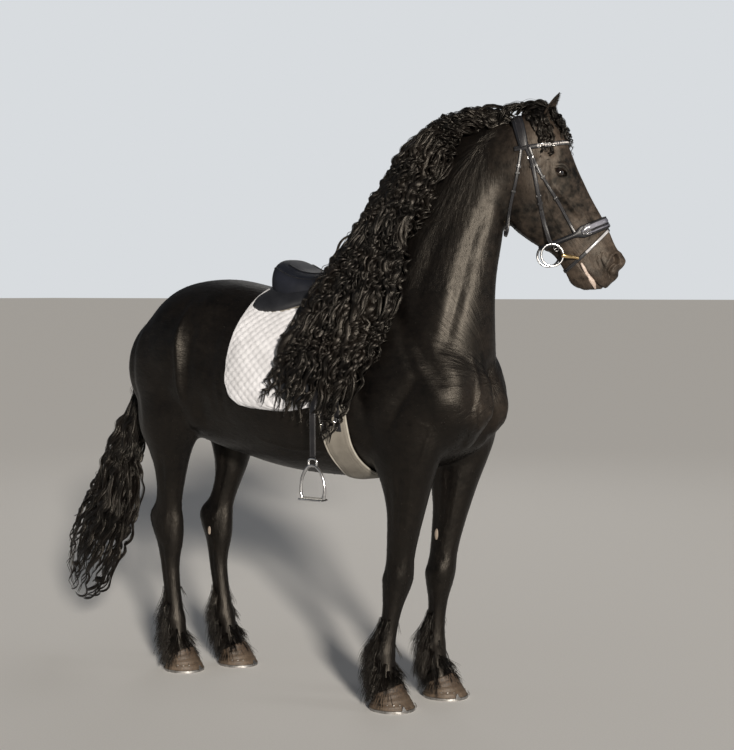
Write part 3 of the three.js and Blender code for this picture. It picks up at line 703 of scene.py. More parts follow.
    def mix_locks(self) -> None:
        """Long hair: fine fibres along each lock, with tone that differs from lock to lock."""
        f = self.f
        uv = self.uv("Strand")
        fibre = self.noise(self.scaled(uv, (1, 0.02, 1)), 1500, 2, 0.7)
        tress = self.noise(self.scaled(uv, (0.35, 0.02, 1)), 500, 2, 0.6)
        tone = self.noise(self.coords, 9, 3, 0.6)
        base = self.tint(self.spread(tone, 0.4, 0.72), f.dark, f.light)
        colour = self.tint(self.spread(tress, 0.35, 0.7, 0, 0.6), base, f.dark)
        self.wear(colour, fibre, self.sum_of("ADD", fibre, tress))

    def mix_strap(self) -> None:
        """Strap leather: pores, wrinkles and a seam of stitches along each side."""
        f = self.f
        uv = self.uv("Strap")
        pores = self.node("TexVoronoi", Vector=self.coords, Scale=900.0).outputs["Distance"]
        wrinkle = self.noise(self.coords, 160, 4, 0.6)
        tone = self.noise(self.coords, 30, 3)
        base = self.tint(self.spread(tone, 0.35, 0.7), f.dark, f.light)
        seam = self.stitches(uv, max(f.width - 0.0028, 0.0014))
        colour = self.tint(seam, base, f.thread)
        relief = self.sum_of("MULTIPLY_ADD", pores, 0.35, self.sum_of("MULTIPLY", wrinkle, 0.4))
        self.wear(colour, wrinkle, self.sum_of("MULTIPLY_ADD", seam, 1.6, relief))

    def mix_hide(self) -> None:
        """Saddle leather: close grain with soft creases."""
        f = self.f
        grain = self.node("TexVoronoi", Vector=self.coords, Scale=520.0).outputs["Distance"]
        crease = self.noise(self.coords, 55, 5, 0.6)
        tone = self.noise(self.coords, 12, 3)
        colour = self.tint(self.spread(tone, 0.35, 0.7), f.dark, f.light)
        relief = self.sum_of("MULTIPLY_ADD", grain, 0.5, self.sum_of("MULTIPLY", crease, 0.8))
        self.wear(colour, crease, relief)

    def mix_cloth(self) -> None:
        """Woven cotton: a fine cross weave with faint soiling."""
        f = self.f
        uv = self.uv("Weave")
        across = self.node(
            "TexWave", Vector=uv, Scale=160.0, Distortion=0.4, bands_direction="X"
        ).outputs["Fac"]
        along = self.node(
            "TexWave", Vector=uv, Scale=160.0, Distortion=0.4, bands_direction="Y"
        ).outputs["Fac"]
        tone = self.noise(self.coords, 9, 4, 0.6)
        nap = self.noise(self.coords, 420, 3, 0.6)
        colour = self.tint(self.spread(tone, 0.4, 0.75), f.light, f.dark)
        weave = self.sum_of("MULTIPLY", across, along)
        self.wear(colour, nap, self.sum_of("MULTIPLY_ADD", nap, 0.6, weave))

    def mix_horn(self) -> None:
        """Hoof wall: growth rings across, fine streaks down, and dry pale dust low on it."""
        f, o = self.f, self.coords
        rings = self.noise(self.scaled(o, (0.25, 0.25, 3.2)), 60, 3, 0.5)
        streak = self.noise(self.scaled(o, (1, 1, 0.06)), 330, 4, 0.65)
        blotch = self.noise(o, 34, 4, 0.65)
        low = self.node("SeparateXYZ", Vector=o).outputs["Z"]
        dust = self.sum_of("MULTIPLY", self.spread(low, 0.075, 0.012), self.spread(blotch, 0.3, 0.62))
        base = self.tint(self.spread(streak, 0.36, 0.68), f.dark, f.light)
        colour = self.tint(self.sum_of("MULTIPLY", dust, 0.45), base, (0.17, 0.125, 0.085))
        self.wear(colour, blotch, self.sum_of("MULTIPLY_ADD", rings, 1.2, streak))

    def mix_metal(self) -> None:
        """Polished metal with fine scratches and a few dull spots."""
        f, o = self.f, self.coords
        scratch = self.noise(self.scaled(o, (1, 0.08, 1)), 900, 3, 0.7)
        dull = self.noise(o, 70, 3)
        self.wear(
            self.tint(self.spread(dull, 0.4, 0.7), f.light, f.dark),
            self.sum_of("MULTIPLY_ADD", dull, 0.5, self.sum_of("MULTIPLY", scratch, 0.5)), scratch,
        )

    def mix_eye(self) -> None:
        """A dark brown eye: a lying oval pupil in a streaked iris, with a bluish shade inside."""
        f = self.f
        parts = self.node("SeparateXYZ", Vector=self.uv("Gaze")).outputs
        wide = self.sum_of("POWER", self.sum_of("DIVIDE", parts["X"], 0.0085), 2.0)
        tall = self.sum_of("POWER", self.sum_of("DIVIDE", parts["Y"], 0.0042), 2.0)
        pupil = self.spread(self.sum_of("ADD", wide, tall), 0.8, 1.2)
        far = self.sum_of(
            "SQRT",
            self.sum_of("ADD", self.sum_of("POWER", parts["X"], 2.0), self.sum_of("POWER", parts["Y"], 2.0)),
        )
        fibres = self.noise(self.coords, 260, 3, 0.6)
        iris = self.tint(self.spread(fibres, 0.35, 0.7), f.dark, f.light)
        rim = self.tint(self.spread(far, 0.0135, 0.0165), iris, (0.006, 0.004, 0.0035))
        white = self.tint(self.spread(far, 0.0185, 0.0205), rim, (0.035, 0.024, 0.020))
        self.wear(self.tint(pupil, (0.004, 0.004, 0.007), white), fibres, fibres)

    def mix_plain(self) -> None:
        """A plain finish with soft mottling."""
        f = self.f
        tone = self.noise(self.coords, 140, 3)
        self.wear(self.tint(self.spread(tone, 0.35, 0.7), f.dark, f.light), tone, tone)


COAT = Finish(
    "black_coat", Pattern.COAT, (0.0010, 0.0009, 0.0010), (0.105, 0.079, 0.061), (0.36, 0.54), 0.0009,
    specular=0.25, glint=(1.0, 0.91, 0.80),
)
HAIR = Finish(
    "long_black_hair", Pattern.LOCKS, (0.0014, 0.0012, 0.0013), (0.0085, 0.0062, 0.0048), (0.28, 0.46),
    0.0007, specular=0.36, glint=(1.0, 0.92, 0.82),
)
EYEBALL = Finish(
    "brown_eye", Pattern.EYE, (0.0035, 0.0018, 0.0012), (0.011, 0.0055, 0.003), (0.05, 0.08), 0.00002,
    gloss=1.0,
)
HORN = Finish("hoof_horn", Pattern.HORN, (0.016, 0.013, 0.011), (0.088, 0.056, 0.034), (0.42, 0.75), 0.0009)
STEEL = Finish(
    "polished_steel", Pattern.METAL, (0.42, 0.42, 0.43), (0.68, 0.68, 0.69), (0.14, 0.32), 0.00006, metal=1.0
)
SHOE = Finish(
    "worn_shoe_steel", Pattern.METAL, (0.20, 0.19, 0.18), (0.46, 0.45, 0.44), (0.28, 0.55), 0.0002, metal=1.0
)
GOLD = Finish(
    "bit_alloy", Pattern.METAL, (0.55, 0.36, 0.16), (0.78, 0.56, 0.28), (0.16, 0.3), 0.00005, metal=1.0
)
SILVER_PATENT = Finish(
    "silver_patent", Pattern.HIDE, (0.26, 0.255, 0.27), (0.50, 0.49, 0.50), (0.16, 0.28), 0.0002, gloss=0.8
)
LILAC_PATENT = Finish(
    "lilac_patent", Pattern.HIDE, (0.085, 0.087, 0.112), (0.20, 0.20, 0.235), (0.14, 0.28), 0.0002, gloss=1.0
)
CRYSTAL = Finish(
    "clear_crystal", Pattern.METAL, (0.66, 0.60, 0.58), (0.92, 0.88, 0.86), (0.08, 0.18), 0.00002, metal=0.35,
    gloss=1.0,
)
PALE_LIP_EDGE = Finish("lip_edge", Pattern.PLAIN, (0.30, 0.235, 0.20), (0.52, 0.43, 0.37), (0.35, 0.55), 0.0006)
PADDING = Finish(
    "padding_leather", Pattern.HIDE, (0.006, 0.0065, 0.0085), (0.014, 0.0145, 0.018), (0.34, 0.5), 0.0005
)
KEEPER = Finish(
    "keeper_leather", Pattern.HIDE, (0.010, 0.010, 0.012), (0.026, 0.025, 0.026), (0.22, 0.36), 0.0003,
    gloss=0.3,
)
SEAT_HIDE = Finish(
    "seat_hide", Pattern.HIDE, (0.0045, 0.0055, 0.0095), (0.010, 0.0115, 0.018), (0.42, 0.58), 0.0004,
    specular=0.35,
)
WELT = Finish(
    "welt_leather", Pattern.HIDE, (0.006, 0.006, 0.007), (0.014, 0.014, 0.016), (0.2, 0.34), 0.0003, gloss=0.4
)
PANEL = Finish(
    "panel_leather", Pattern.HIDE, (0.008, 0.0085, 0.011), (0.017, 0.018, 0.022), (0.4, 0.55), 0.0005
)
TRIM = Finish("beige_trim", Pattern.HIDE, (0.13, 0.115, 0.095), (0.22, 0.20, 0.17), (0.45, 0.6), 0.0004)
GIRTH_CLOTH = Finish(
    "greige_girth", Pattern.CLOTH, (0.125, 0.112, 0.094), (0.205, 0.188, 0.160), (0.55, 0.75), 0.0006
)
TREAD = Finish("tread_rubber", Pattern.PLAIN, (0.22, 0.22, 0.215), (0.36, 0.36, 0.35), (0.6, 0.8), 0.0003)
CALLUS = Finish("callus_horn", Pattern.HORN, (0.14, 0.11, 0.09), (0.34, 0.28, 0.23), (0.6, 0.8), 0.0008)
FLOOR = Finish("pale_floor", Pattern.PLAIN, (0.79, 0.78, 0.765), (0.83, 0.82, 0.805), (0.75, 0.85), 0.0)
FLAP = Finish(
    "flap_leather", Pattern.HIDE, (0.0075, 0.008, 0.010), (0.016, 0.0165, 0.020), (0.30, 0.44), 0.00035,
    gloss=0.12,
)
COTTON = Finish(
    "white_cotton", Pattern.CLOTH, (0.47, 0.47, 0.49), (0.64, 0.64, 0.67), (0.75, 0.9), 0.00035, sheen=0.1
)
GIRTH_EDGE = Finish("girth_edge", Pattern.HIDE, (0.24, 0.22, 0.19), (0.36, 0.34, 0.30), (0.45, 0.62), 0.0004)


# The skin


class Face(Enum):
    """The side from which a ridge or hollow is drawn."""

    FLANK = "flank"
    CHEST = "chest"
    HEAD = "head"
    FORE = "fore"
    HIND = "hind"


@dataclass(frozen=True)
class Stroke:
    """A ridge or hollow along a line on the body.

    Attributes:
        face: The side it is drawn from.
        line: Pairs across and up in millimetres; on a leg, across is measured from its centre line.
        reach: Half its width in millimetres.
        rise: Its height, or less than 0 for a hollow.
    """

    face: Face
    line: tuple[tuple[float, float], ...]
    reach: float
    rise: float


STROKES = (
    # hindquarters and flank
    Stroke(Face.FLANK, ((-372, 1492),), 62, 10),
    Stroke(Face.FLANK, ((-322, 1345), (-345, 1250)), 72, -12),
    Stroke(Face.FLANK, ((-712, 1450), (-742, 1330), (-742, 1180), (-700, 1030)), 26, -9),
    Stroke(Face.FLANK, ((-440, 1500), (-560, 1420), (-650, 1340)), 34, -5),
    Stroke(Face.FLANK, ((-420, 1330), (-500, 1200), (-560, 1080)), 34, -5),
    Stroke(Face.FLANK, ((-440, 1500), (-461, 1407), (-457, 1307), (-459, 1207), (-450, 1110)), 15, 7),
    Stroke(Face.FLANK, ((-396, 1420), (-408, 1300), (-412, 1160)), 28, -9),
    Stroke(Face.FLANK, ((-330, 1150), (-372, 1060)), 34, -8),
    # barrel
    *(Stroke(Face.FLANK, ((x, 1440), (x - 26, 1270), (x - 10, 1090)), 15, -2.2) for x in (-262, -212, -162)),
    Stroke(Face.FLANK, ((392, 1000), (250, 962), (90, 958), (-60, 990)), 7, 3.2),
    Stroke(Face.FLANK, ((250, 962), (200, 930), (130, 912)), 5, 2.2),
    # shoulder and neck
    Stroke(Face.FLANK, ((470, 1560), (560, 1430), (680, 1300), (748, 1215)), 30, -8),
    Stroke(Face.FLANK, ((735, 1165),), 66, 10),
    Stroke(Face.FLANK, ((348, 1420), (372, 1270), (412, 1130), (430, 1010)), 28, -7),
    Stroke(Face.FLANK, ((492, 1500), (590, 1330), (640, 1235)), 18, -4),
    Stroke(Face.FLANK, ((640, 1240), (570, 1150), (520, 1060)), 24, -7),
    Stroke(Face.FLANK, ((520, 1180), (480, 1090)), 46, 6),
    Stroke(Face.FLANK, ((398, 968),), 44, 9),
    Stroke(Face.FLANK, ((716, 1350), (744, 1500), (760, 1640), (776, 1770), (812, 1880)), 19, -5),
    Stroke(Face.FLANK, ((690, 1370), (700, 1520), (716, 1660), (742, 1790)), 24, 2),
    Stroke(Face.FLANK, ((600, 1400), (612, 1560), (640, 1720), (700, 1860)), 30, -3),
    Stroke(Face.FLANK, ((400, 1700), (478, 1880), (580, 2010), (700, 2100)), 24, -6),
    Stroke(Face.FLANK, ((530, 1490), (540, 1640), (590, 1800)), 34, 4),
    # veins of the shoulder and forearm
    Stroke(Face.FLANK, ((742, 1120), (690, 1062), (660, 990), (640, 930)), 6, 3),
    Stroke(Face.FLANK, ((690, 1062), (650, 1080), (600, 1060)), 5, 2.2),
    Stroke(Face.FLANK, ((600, 1160), (560, 1090), (556, 1010)), 5, 2),
    # breast
    Stroke(Face.CHEST, ((0, 1280), (0, 1130), (0, 960)), 26, -20),
    Stroke(Face.CHEST, ((-128, 1240), (-112, 1120), (-84, 985)), 24, -9),
    Stroke(Face.CHEST, ((128, 1240), (112, 1120), (84, 985)), 24, -9),
    Stroke(Face.CHEST, ((-66, 1120),), 56, 7),
    Stroke(Face.CHEST, ((66, 1120),), 56, 7),
    Stroke(
        Face.CHEST, ((-92, 1330), (-91, 1259), (-96, 1194), (-119, 1140), (-108, 1062), (-62, 980)), 7.5, 3.6
    ),
    Stroke(Face.CHEST, ((-62, 1340), (-50, 1260), (-44, 1178), (-46, 1112), (14, 1046), (74, 960)), 7.5, 3.8),
    Stroke(Face.CHEST, ((10, 1180), (22, 1107), (44, 1052), (112, 975)), 7, 3.0),
    Stroke(Face.CHEST, ((-72, 1230), (-80, 1110), (-44, 1020)), 14, -4),
    Stroke(Face.CHEST, ((-14, 1180), (-10, 1100), (40, 1010)), 13, -4),
    Stroke(Face.CHEST, ((50, 1170), (74, 1080), (64, 1000)), 5, 2.6),
    # legs
    Stroke(Face.FORE, ((20, 890), (6, 780), (0, 660)), 13, -5),
    Stroke(Face.FORE, ((-34, 860), (-30, 740), (-26, 640)), 12, -4),
    Stroke(Face.FORE, ((58, 870), (44, 760), (36, 660)), 5, 2.6),
    Stroke(Face.FORE, ((-10, 900), (-4, 820), (12, 740), (16, 600)), 4.5, 2.4),
    Stroke(Face.FORE, ((-12, 408), (-11, 330), (-10, 250)), 8, -5),
    Stroke(Face.FORE, ((-30, 395), (-30, 330), (-30, 258)), 7, -3),
    Stroke(Face.FORE, ((22, 492),), 24, 4),
    Stroke(Face.FORE, ((-44, 500), (-40, 470)), 14, 4),
    Stroke(Face.FORE, ((0, 452), (30, 446)), 9, -3),
    Stroke(Face.FORE, ((0, 545), (26, 548)), 10, -3),
    Stroke(Face.FORE, ((-8, 205),), 26, 4),
    Stroke(Face.HIND, ((-46, 860), (-50, 760), (-62, 690)), 15, -8),
    Stroke(Face.HIND, ((30, 900), (16, 800), (10, 720)), 15, -5),
    Stroke(Face.HIND, ((40, 880), (26, 760), (20, 640), (10, 560)), 5, 2.8),
    Stroke(Face.HIND, ((-74, 650),), 22, 5),
    Stroke(Face.HIND, ((14, 610),), 24, 4),
    Stroke(Face.HIND, ((-34, 590), (-24, 540)), 15, 4),
    Stroke(Face.HIND, ((-12, 520), (-11, 400), (-10, 255)), 8, -5),
    Stroke(Face.HIND, ((-8, 205),), 26, 4),
    # head
    Stroke(Face.HEAD, ((30, 1975),), 66, 7),
    Stroke(Face.HEAD, ((100, 2040), (98, 1950), (76, 1868), (30, 1806)), 13, -5),
    Stroke(Face.HEAD, ((128, 1948), (176, 1892), (222, 1842)), 9, 5),
    Stroke(Face.HEAD, ((150, 1900), (212, 1826)), 16, -4),
    Stroke(Face.HEAD, ((112, 2086),), 24, -9),
    Stroke(Face.HEAD, ((78, 2060), (50, 2012)), 18, 4),
    Stroke(Face.HEAD, ((212, 1960), (262, 1860), (312, 1770)), 14, -4),
    Stroke(Face.HEAD, ((248, 1990), (300, 1872), (352, 1768)), 12, 3),
    Stroke(Face.HEAD, ((186, 1905), (236, 1858), (262, 1800), (258, 1760)), 4.5, 2.4),
    Stroke(Face.HEAD, ((236, 1858), (286, 1850), (330, 1810)), 4, 1.8),
    Stroke(Face.HEAD, ((96, 1930), (120, 1850), (150, 1790)), 4.5, 1.8),
    Stroke(Face.HEAD, ((300, 1700), (340, 1650)), 22, 4),
)


# The unwrap: heights and middles of neck and head, where each part begins and how long it is, and its radius.
NECK_CORE = ((1560, 1800, 2000, 2200), (590, 620, 690, 820))
HEAD_CORE = ((1560, 1700, 1900, 2200), (300, 240, 90, 60))
TRUNK_SPAN, LEG_SPAN, NECK_SPAN, HEAD_SPAN = (-860, 1800), 910, (1540, 720), (1480, 800)
PART_RADIUS = np.array([290, 52, 52, 52, 52, 190, 95])
# How far a strip of the unwrap reaches round its part, in radians: a full turn and some room to close it.
STRIP_TURN = 7.4
# Finer lines of the muzzle: pairs forward and up, half width, and rise.
NOSTRIL = (
    (((358, 1668), (344, 1655), (333, 1636), (337, 1616)), 5.2, -9.5),
    (((331, 1668), (343, 1696), (366, 1708), (387, 1698), (393, 1676), (384, 1656)), 7.5, 6.5),
    (((326, 1664), (320, 1636), (330, 1604)), 8, 3.5),
    (((350, 1640), (360, 1622), (352, 1602)), 9, 3.5),
    (((352, 1728), (334, 1742)), 15, -3.0),
    (((308, 1712), (300, 1684), (312, 1656)), 4, -1.5),
    (((290, 1702), (284, 1676), (296, 1650)), 4, -1.3),
)
MOUTH = (
    (((236, 1668), (282, 1618), (318, 1596)), 13, 3.4),
    (((236, 1632), (272, 1590), (300, 1566)), 12, 3.0),
    (((214, 1690), (196, 1704)), 6, -2.4),
    (((262, 1562), (240, 1580)), 22, 4.0),
    (((350, 1640), (372, 1612)), 20, 3.0),
)


@dataclass
class Skin:
    """The one skin of head, neck, trunk and legs.

    Attributes:
        cell: Size of its mesh in metres.
        obj: The finished object.
        tree: A search tree of its faces.
        uv: Place of each face on the unwrap.
        nodes: The CAD nodes that it replaces.
        sections: Number of cross-sections of a form.
    """

    cell: float = 0.0078
    obj: bpy.types.Object | None = None
    tree: BVHTree | None = None
    uv: Array | None = None
    nodes: tuple[str, ...] = ("trunk", "neck", "head", *LEGS)
    sections: int = 150

    def build(self) -> None:
        """Makes the skin from the flesh nodes, models its forms and dresses it."""
        self.fuse()
        self.model()
        self.model_face()
        self.thin()
        self.unwrap()
        shown(self.obj, COAT, "coat", *self.nodes)

    def forms(self) -> list[bpy.types.Object]:
        """Makes the forms of trunk, neck, head, legs and muscles that the skin grows over."""
        flat = lambda rows: np.zeros((len(rows), 1))
        t = resample(TRUNK, self.sections)
        side = np.broadcast_to(LEFT, (self.sections, 3))
        made = [
            loft(
                "form", np.hstack([t[:, :1], flat(t), t[:, 1:2]]), np.hstack([t[:, :1], flat(t), t[:, 2:3]]),
                side, t[:, 3:7], (20, 16),
            )
        ]
        n = resample(NECK, 120)
        turn = np.radians(n[:, 7])
        side = np.stack([-np.sin(turn), np.cos(turn), 0 * turn], 1)
        made.append(
            loft(
                "form", n[:, :3], n[:, 3:6], side,
                np.column_stack([n[:, 6], n[:, 8], 0 * turn + 2, 0 * turn + 2]), (0, 30),
            )
        )
        h = resample(HEAD, self.sections)
        made.append(
            loft(
                "form", in_head(h[:, 0], h[:, 1], 0), in_head(h[:, 2], h[:, 3], 0),
                np.broadcast_to(ASIDE, (self.sections, 3)), h[:, 4:8], (14, 7),
            )
        )
        for leg in LEGS:
            r = resample(SHANKS[leg[:4]], self.sections)
            c = leg_centre(leg, r[:, 0])
            c[:, :2] = even(c[:, :2], 12)
            one = 0 * r[:, 0]
            shape = np.column_stack([r[:, 3], one + 0.5, one + 2, one + 2])
            made.append(
                loft(
                    "form", c + r[:, 1:2] * ALONG, c + r[:, 2:3] * ALONG,
                    np.broadcast_to(LEFT, (self.sections, 3)), shape, (0, 30),
                )
            )
        for x, y, z, rx, ry, rz in MASSES:
            for sign in SIDES.values():
                ball = primitive("uv_sphere", segments=40, ring_count=24, radius=1)
                put_points(ball, row(points_of(ball) * (rx, ry, rz) + (x, sign * y, z)))
                made.append(ball)
        return made

    def fuse(self) -> None:
        """Grows the forms together, and remeshes and smooths them as one skin."""
        obj = join(self.forms(), "skin")
        finish_with(obj, "REMESH", mode="VOXEL", voxel_size=self.cell)
        p = own(points_of(obj))
        h, z, _ = head_coords(p)
        face = step(-40, 40, h) * step(1500, 1540, z)
        high = step(640, 1000, z)
        relax(obj, 40, (0.22 + 0.78 * high) * (1 - 0.85 * face))
        eyes = [Eye(side).centre() for side in SIDES.values()]
        areas = [(in_head(190, 1850, 0), 330), *((eye, 54) for eye in eyes), (in_head(*MUZZLE, 0), 112)]
        for centre, radius in [*areas, *((eye, 36) for eye in eyes)]:
            self.refine(obj, centre, radius)
            away = np.linalg.norm(own(points_of(obj)) - centre, axis=1)
            relax(obj, 3, step(radius * 1.15, radius, away) * 0.9)
        put_points(obj, points_of(obj) - 0.001 * COAT_DEPTH * points_of(obj, "normal"))
        self.obj = obj

    @staticmethod
    def refine(obj: bpy.types.Object, centre: Array, radius: float) -> None:
        """Halves the mesh around a place.

        Args:
            obj: The mesh object.
            centre: Place in the horse's frame.
            radius: Reach in millimetres.
        """
        inside = np.linalg.norm(own(points_of(obj)) - centre, axis=1) < radius
        if radius > WHOLE_HEAD:
            h, _, _ = head_coords(own(points_of(obj)))
            inside &= h > BEHIND_JAW
        near = set(np.nonzero(inside)[0].tolist())
        with edited(obj) as bm:
            edges = [e for e in bm.edges if e.verts[0].index in near and e.verts[1].index in near]
            bmesh.ops.subdivide_edges(bm, edges=edges, cuts=1, use_grid_fill=True)
            bmesh.ops.triangulate(bm, faces=[f for f in bm.faces if len(f.verts) > 4])

    def model(self) -> None:
        """Draws the ridges, hollows and veins of the muscles."""
        p, n = own(points_of(self.obj)), points_of(self.obj, "normal")
        h, z, _ = head_coords(p)
        on_head = step(-70, -30, h) * step(1520, 1560, z) * (z < 2260)
        move = np.zeros(len(p))
        low = {
            leg: (p[:, 2] < 960) & (np.sign(p[:, 1]) == s) & ((p[:, 0] > 200) == leg.startswith("fore"))
            for leg in LEGS
            for s in [SIDES[leg.split("_")[1]]]
        }
        for stroke in STROKES:
            if stroke.face is Face.FLANK:
                move += 1.4 * self.drawn(stroke, p[:, 0], z, step(0.12, 0.5, np.abs(n[:, 1]))) * (1 - on_head)
            elif stroke.face is Face.CHEST:
                drawn = 1.3 * self.drawn(stroke, p[:, 1], z, step(0.1, 0.45, n[:, 0]))
                move += drawn * (p[:, 0] > 560) * (1 - on_head)
            elif stroke.face is Face.HEAD:
                move += self.drawn(stroke, h, z, step(0.05, 0.4, np.abs(n @ ASIDE))) * on_head
            else:
                for leg, mine in low.items():
                    if leg.startswith(stroke.face.value):
                        off = p[:, 0] - leg_centre(leg, z)[:, 0]
                        move += self.drawn(stroke, off, z, step(0.05, 0.4, np.abs(n[:, 1]))) * mine
        put_points(self.obj, points_of(self.obj) + 0.001 * move[:, None] * n)

    @staticmethod
    def drawn(stroke: Stroke, across: Array, up: Array, weight: Array) -> Array:
        """Gives how far a stroke moves each point.

        Args:
            stroke: The ridge or hollow.
            across: Each point's place across.
            up: Each point's height.
            weight: How much each point takes part.

        Returns:
            Millimetres outwards.
        """
        line = np.asarray(stroke.line, float)
        if len(line) == 1:
            line = np.vstack([line, line + 0.01])
        far = np.full(len(across), 1e9)
        taper = np.zeros(len(across))
        total = len(line) - 1
        for k, (a, b) in enumerate(zip(line, line[1:])):
            d = b - a
            t = np.clip(((across - a[0]) * d[0] + (up - a[1]) * d[1]) / max(d @ d, 1e-9), 0, 1)
            q = np.hypot(across - a[0] - t * d[0], up - a[1] - t * d[1])
            s = (k + t) / total
            taper = np.where(q < far, s, taper)
            far = np.minimum(far, q)
        fade = 1.0 if len(stroke.line) == 1 else 0.35 + 0.65 * np.sin(np.pi * np.clip(taper, 0, 1)) ** 0.5
        return stroke.rise * np.exp(-((far / stroke.reach) ** 2)) * weight * fade

    def model_face(self) -> None:
        """Models the lids, nostrils, mouth and jaw."""
        for side in SIDES.values():
            self.model_lids(Eye(side))
        p, n = own(points_of(self.obj)), points_of(self.obj, "normal")
        h, z, out = head_coords(p)
        move = np.zeros_like(p)
        beside = step(0.05, 0.35, np.abs(n @ ASIDE)) * (z < 1800) * (h > 100)
        # nostril: an opening with a flared rim, and a groove that curls back under it
        a, b = (h - 364) * 0.97 + (z - 1682) * 0.24, -(h - 364) * 0.24 + (z - 1682) * 0.97
        ring = np.hypot(a / 12.5, b / 18.5)
        move += (-(1 - step(0.55, 1.12, ring)) * 24 * beside)[:, None] * unit(
            ASIDE * np.sign(out)[:, None] * 0.8 + AHEAD * 0.45
        )
        for line, reach, rise in NOSTRIL:
            move += self.drawn(Stroke(Face.HEAD, line, reach, rise), h, z, beside)[:, None] * n
        notch = np.exp(-((((h - 390) / 20) ** 2) + ((z - 1636) / 13) ** 2))
        flare = np.exp(-((((h - 398) / 14) ** 2) + ((z - 1676) / 15) ** 2)) * step(8, 26, np.abs(out))
        move += (-9 * notch + 5 * flare)[:, None] * AHEAD
        # mouth
        slit = Stroke(Face.HEAD, ((212, 1676), (252, 1630), (296, 1583), (330, 1566), (372, 1568)), 4.2, -8)
        move += self.drawn(slit, h, z, (h > 100) * (z < 1720))[:, None] * n
        for line, reach, rise in MOUTH:
            move += self.drawn(Stroke(Face.HEAD, line, reach, rise), h, z, beside)[:, None] * n
        # the hollow between the jaw bones
        between = (h < 210) * (h > -90) * (1 - step(14, 40, np.abs(out))) * step(0.1, 0.6, -(n @ AHEAD))
        under = between * step(1640, 1700, z) * (1 - step(1900, 2000, z))
        move += (-9 * under)[:, None] * n
        put_points(self.obj, points_of(self.obj) + 0.001 * move)
        relax(self.obj, 1, (step(1500, 1560, z) * step(-40, 0, h)) * 0.5)

    def model_lids(self, eye: "Eye") -> None:
        """Sets an eye's lids and socket in the skin.

        Args:
            eye: The eye.
        """
        p = own(points_of(self.obj))
        along, up, out = eye.axes()
        d = p - eye.centre()
        a, b, c = d @ along, d @ up, d @ out
        near = (c > -4) & (np.hypot(a, b) < 62)
        a, b, c = a[near], b[near], c[near]
        r = np.hypot(a, b)
        big = eye.radius
        inner = np.minimum(r, 0.86 * big)
        ball = np.sqrt(big**2 - inner**2) - np.maximum(r - 0.86 * big, 0) * 0.55
        reach, upper, lower, melt = 28.0, 14.0, 10.5, 2.5
        corner = np.clip(1 - (a / reach) ** 2, 0.02, 1)
        top, bottom = upper * corner**0.6, lower * corner**0.8
        q = np.where(b > 0, b / top, -b / bottom)
        q = np.where(np.abs(a) < 27.8, q, 1.0 + (np.abs(a) - 27.8) / 6 + np.abs(b) / 12)
        lid = ball + np.where(b > 0, 4.2, 3.0)
        lid = (
            lid - 2.2 * np.exp(-(((q - 1.6) / 0.16) ** 2)) * (b > 0)
            + 1.2 * np.exp(-(((q - 1.2) / 0.16) ** 2))
        )
        lid = lid - 0.6 * np.exp(-(((q - 1.9) / 0.2) ** 2)) * (b < 0)
        brow = 6.0 * np.exp(-(((r - 31) / 9) ** 2)) * step(6, 22, b) * (0.5 + 0.5 * step(-30, 10, a))
        target = np.where(q < 1, ball - 7.0, lid)
        over = np.clip((target - c) / melt, -30, 30)
        new = np.where(q < 1, target, c + melt * np.logaddexp(0, over)) + brow
        p[near] = p[near] + (new - c)[:, None] * out
        put_points(self.obj, row(p))

    def thin(self, most: int = 188000) -> None:
        """Thins the mesh behind the head until it has at most so many triangles."""
        me = self.obj.data
        me.calc_loop_triangles()
        count = len(me.loop_triangles)
        if count > most:
            p = own(points_of(self.obj))
            h, z, _ = head_coords(p)
            away = lambda spot: np.linalg.norm(p - spot, axis=1)
            eyes = step(38, 66, np.minimum(away(Eye(-1).centre()), away(Eye(1).centre())))
            face = step(-120, -60, h) * step(1480, 1560, z)
            far = eyes * step(92, 128, away(in_head(*MUZZLE, 0))) * (1 - 0.45 * face)
            group = self.obj.vertex_groups.new(name="behind")
            for k in range(1, 11):
                pick = np.nonzero(np.round(far * 10) == k)[0].tolist()
                if pick:
                    group.add(pick, k / 10, "REPLACE")
            finish_with(
                self.obj, "DECIMATE", decimate_type="COLLAPSE", ratio=most / count, vertex_group="behind",
                vertex_group_factor=1.0,
            )
            self.obj.vertex_groups.clear()
        with edited(self.obj) as bm:
            bmesh.ops.triangulate(bm, faces=bm.faces[:])
        self.obj.data.polygons.foreach_set("use_smooth", np.ones(len(self.obj.data.polygons), bool))
        self.obj.data.update()

    def region(self, p: Array) -> Array:
        """Numbers the part of the body that points lie in: trunk 0, legs 1 to 4, neck 5, head 6."""
        h, z, _ = head_coords(p)
        part = np.zeros(len(p), int)
        leg = (z < 900) & ((p[:, 0] > 380) | (p[:, 0] < -380))
        part[leg] = 1 + (p[leg, 0] < 0) * 2 + (p[leg, 1] > 0)
        part[(z > 1560) & (p[:, 0] > 300)] = 5
        part[(z > 1500) & (h > -70 + 0.2 * (2120 - z)) & (z < 2260)] = 6
        return part

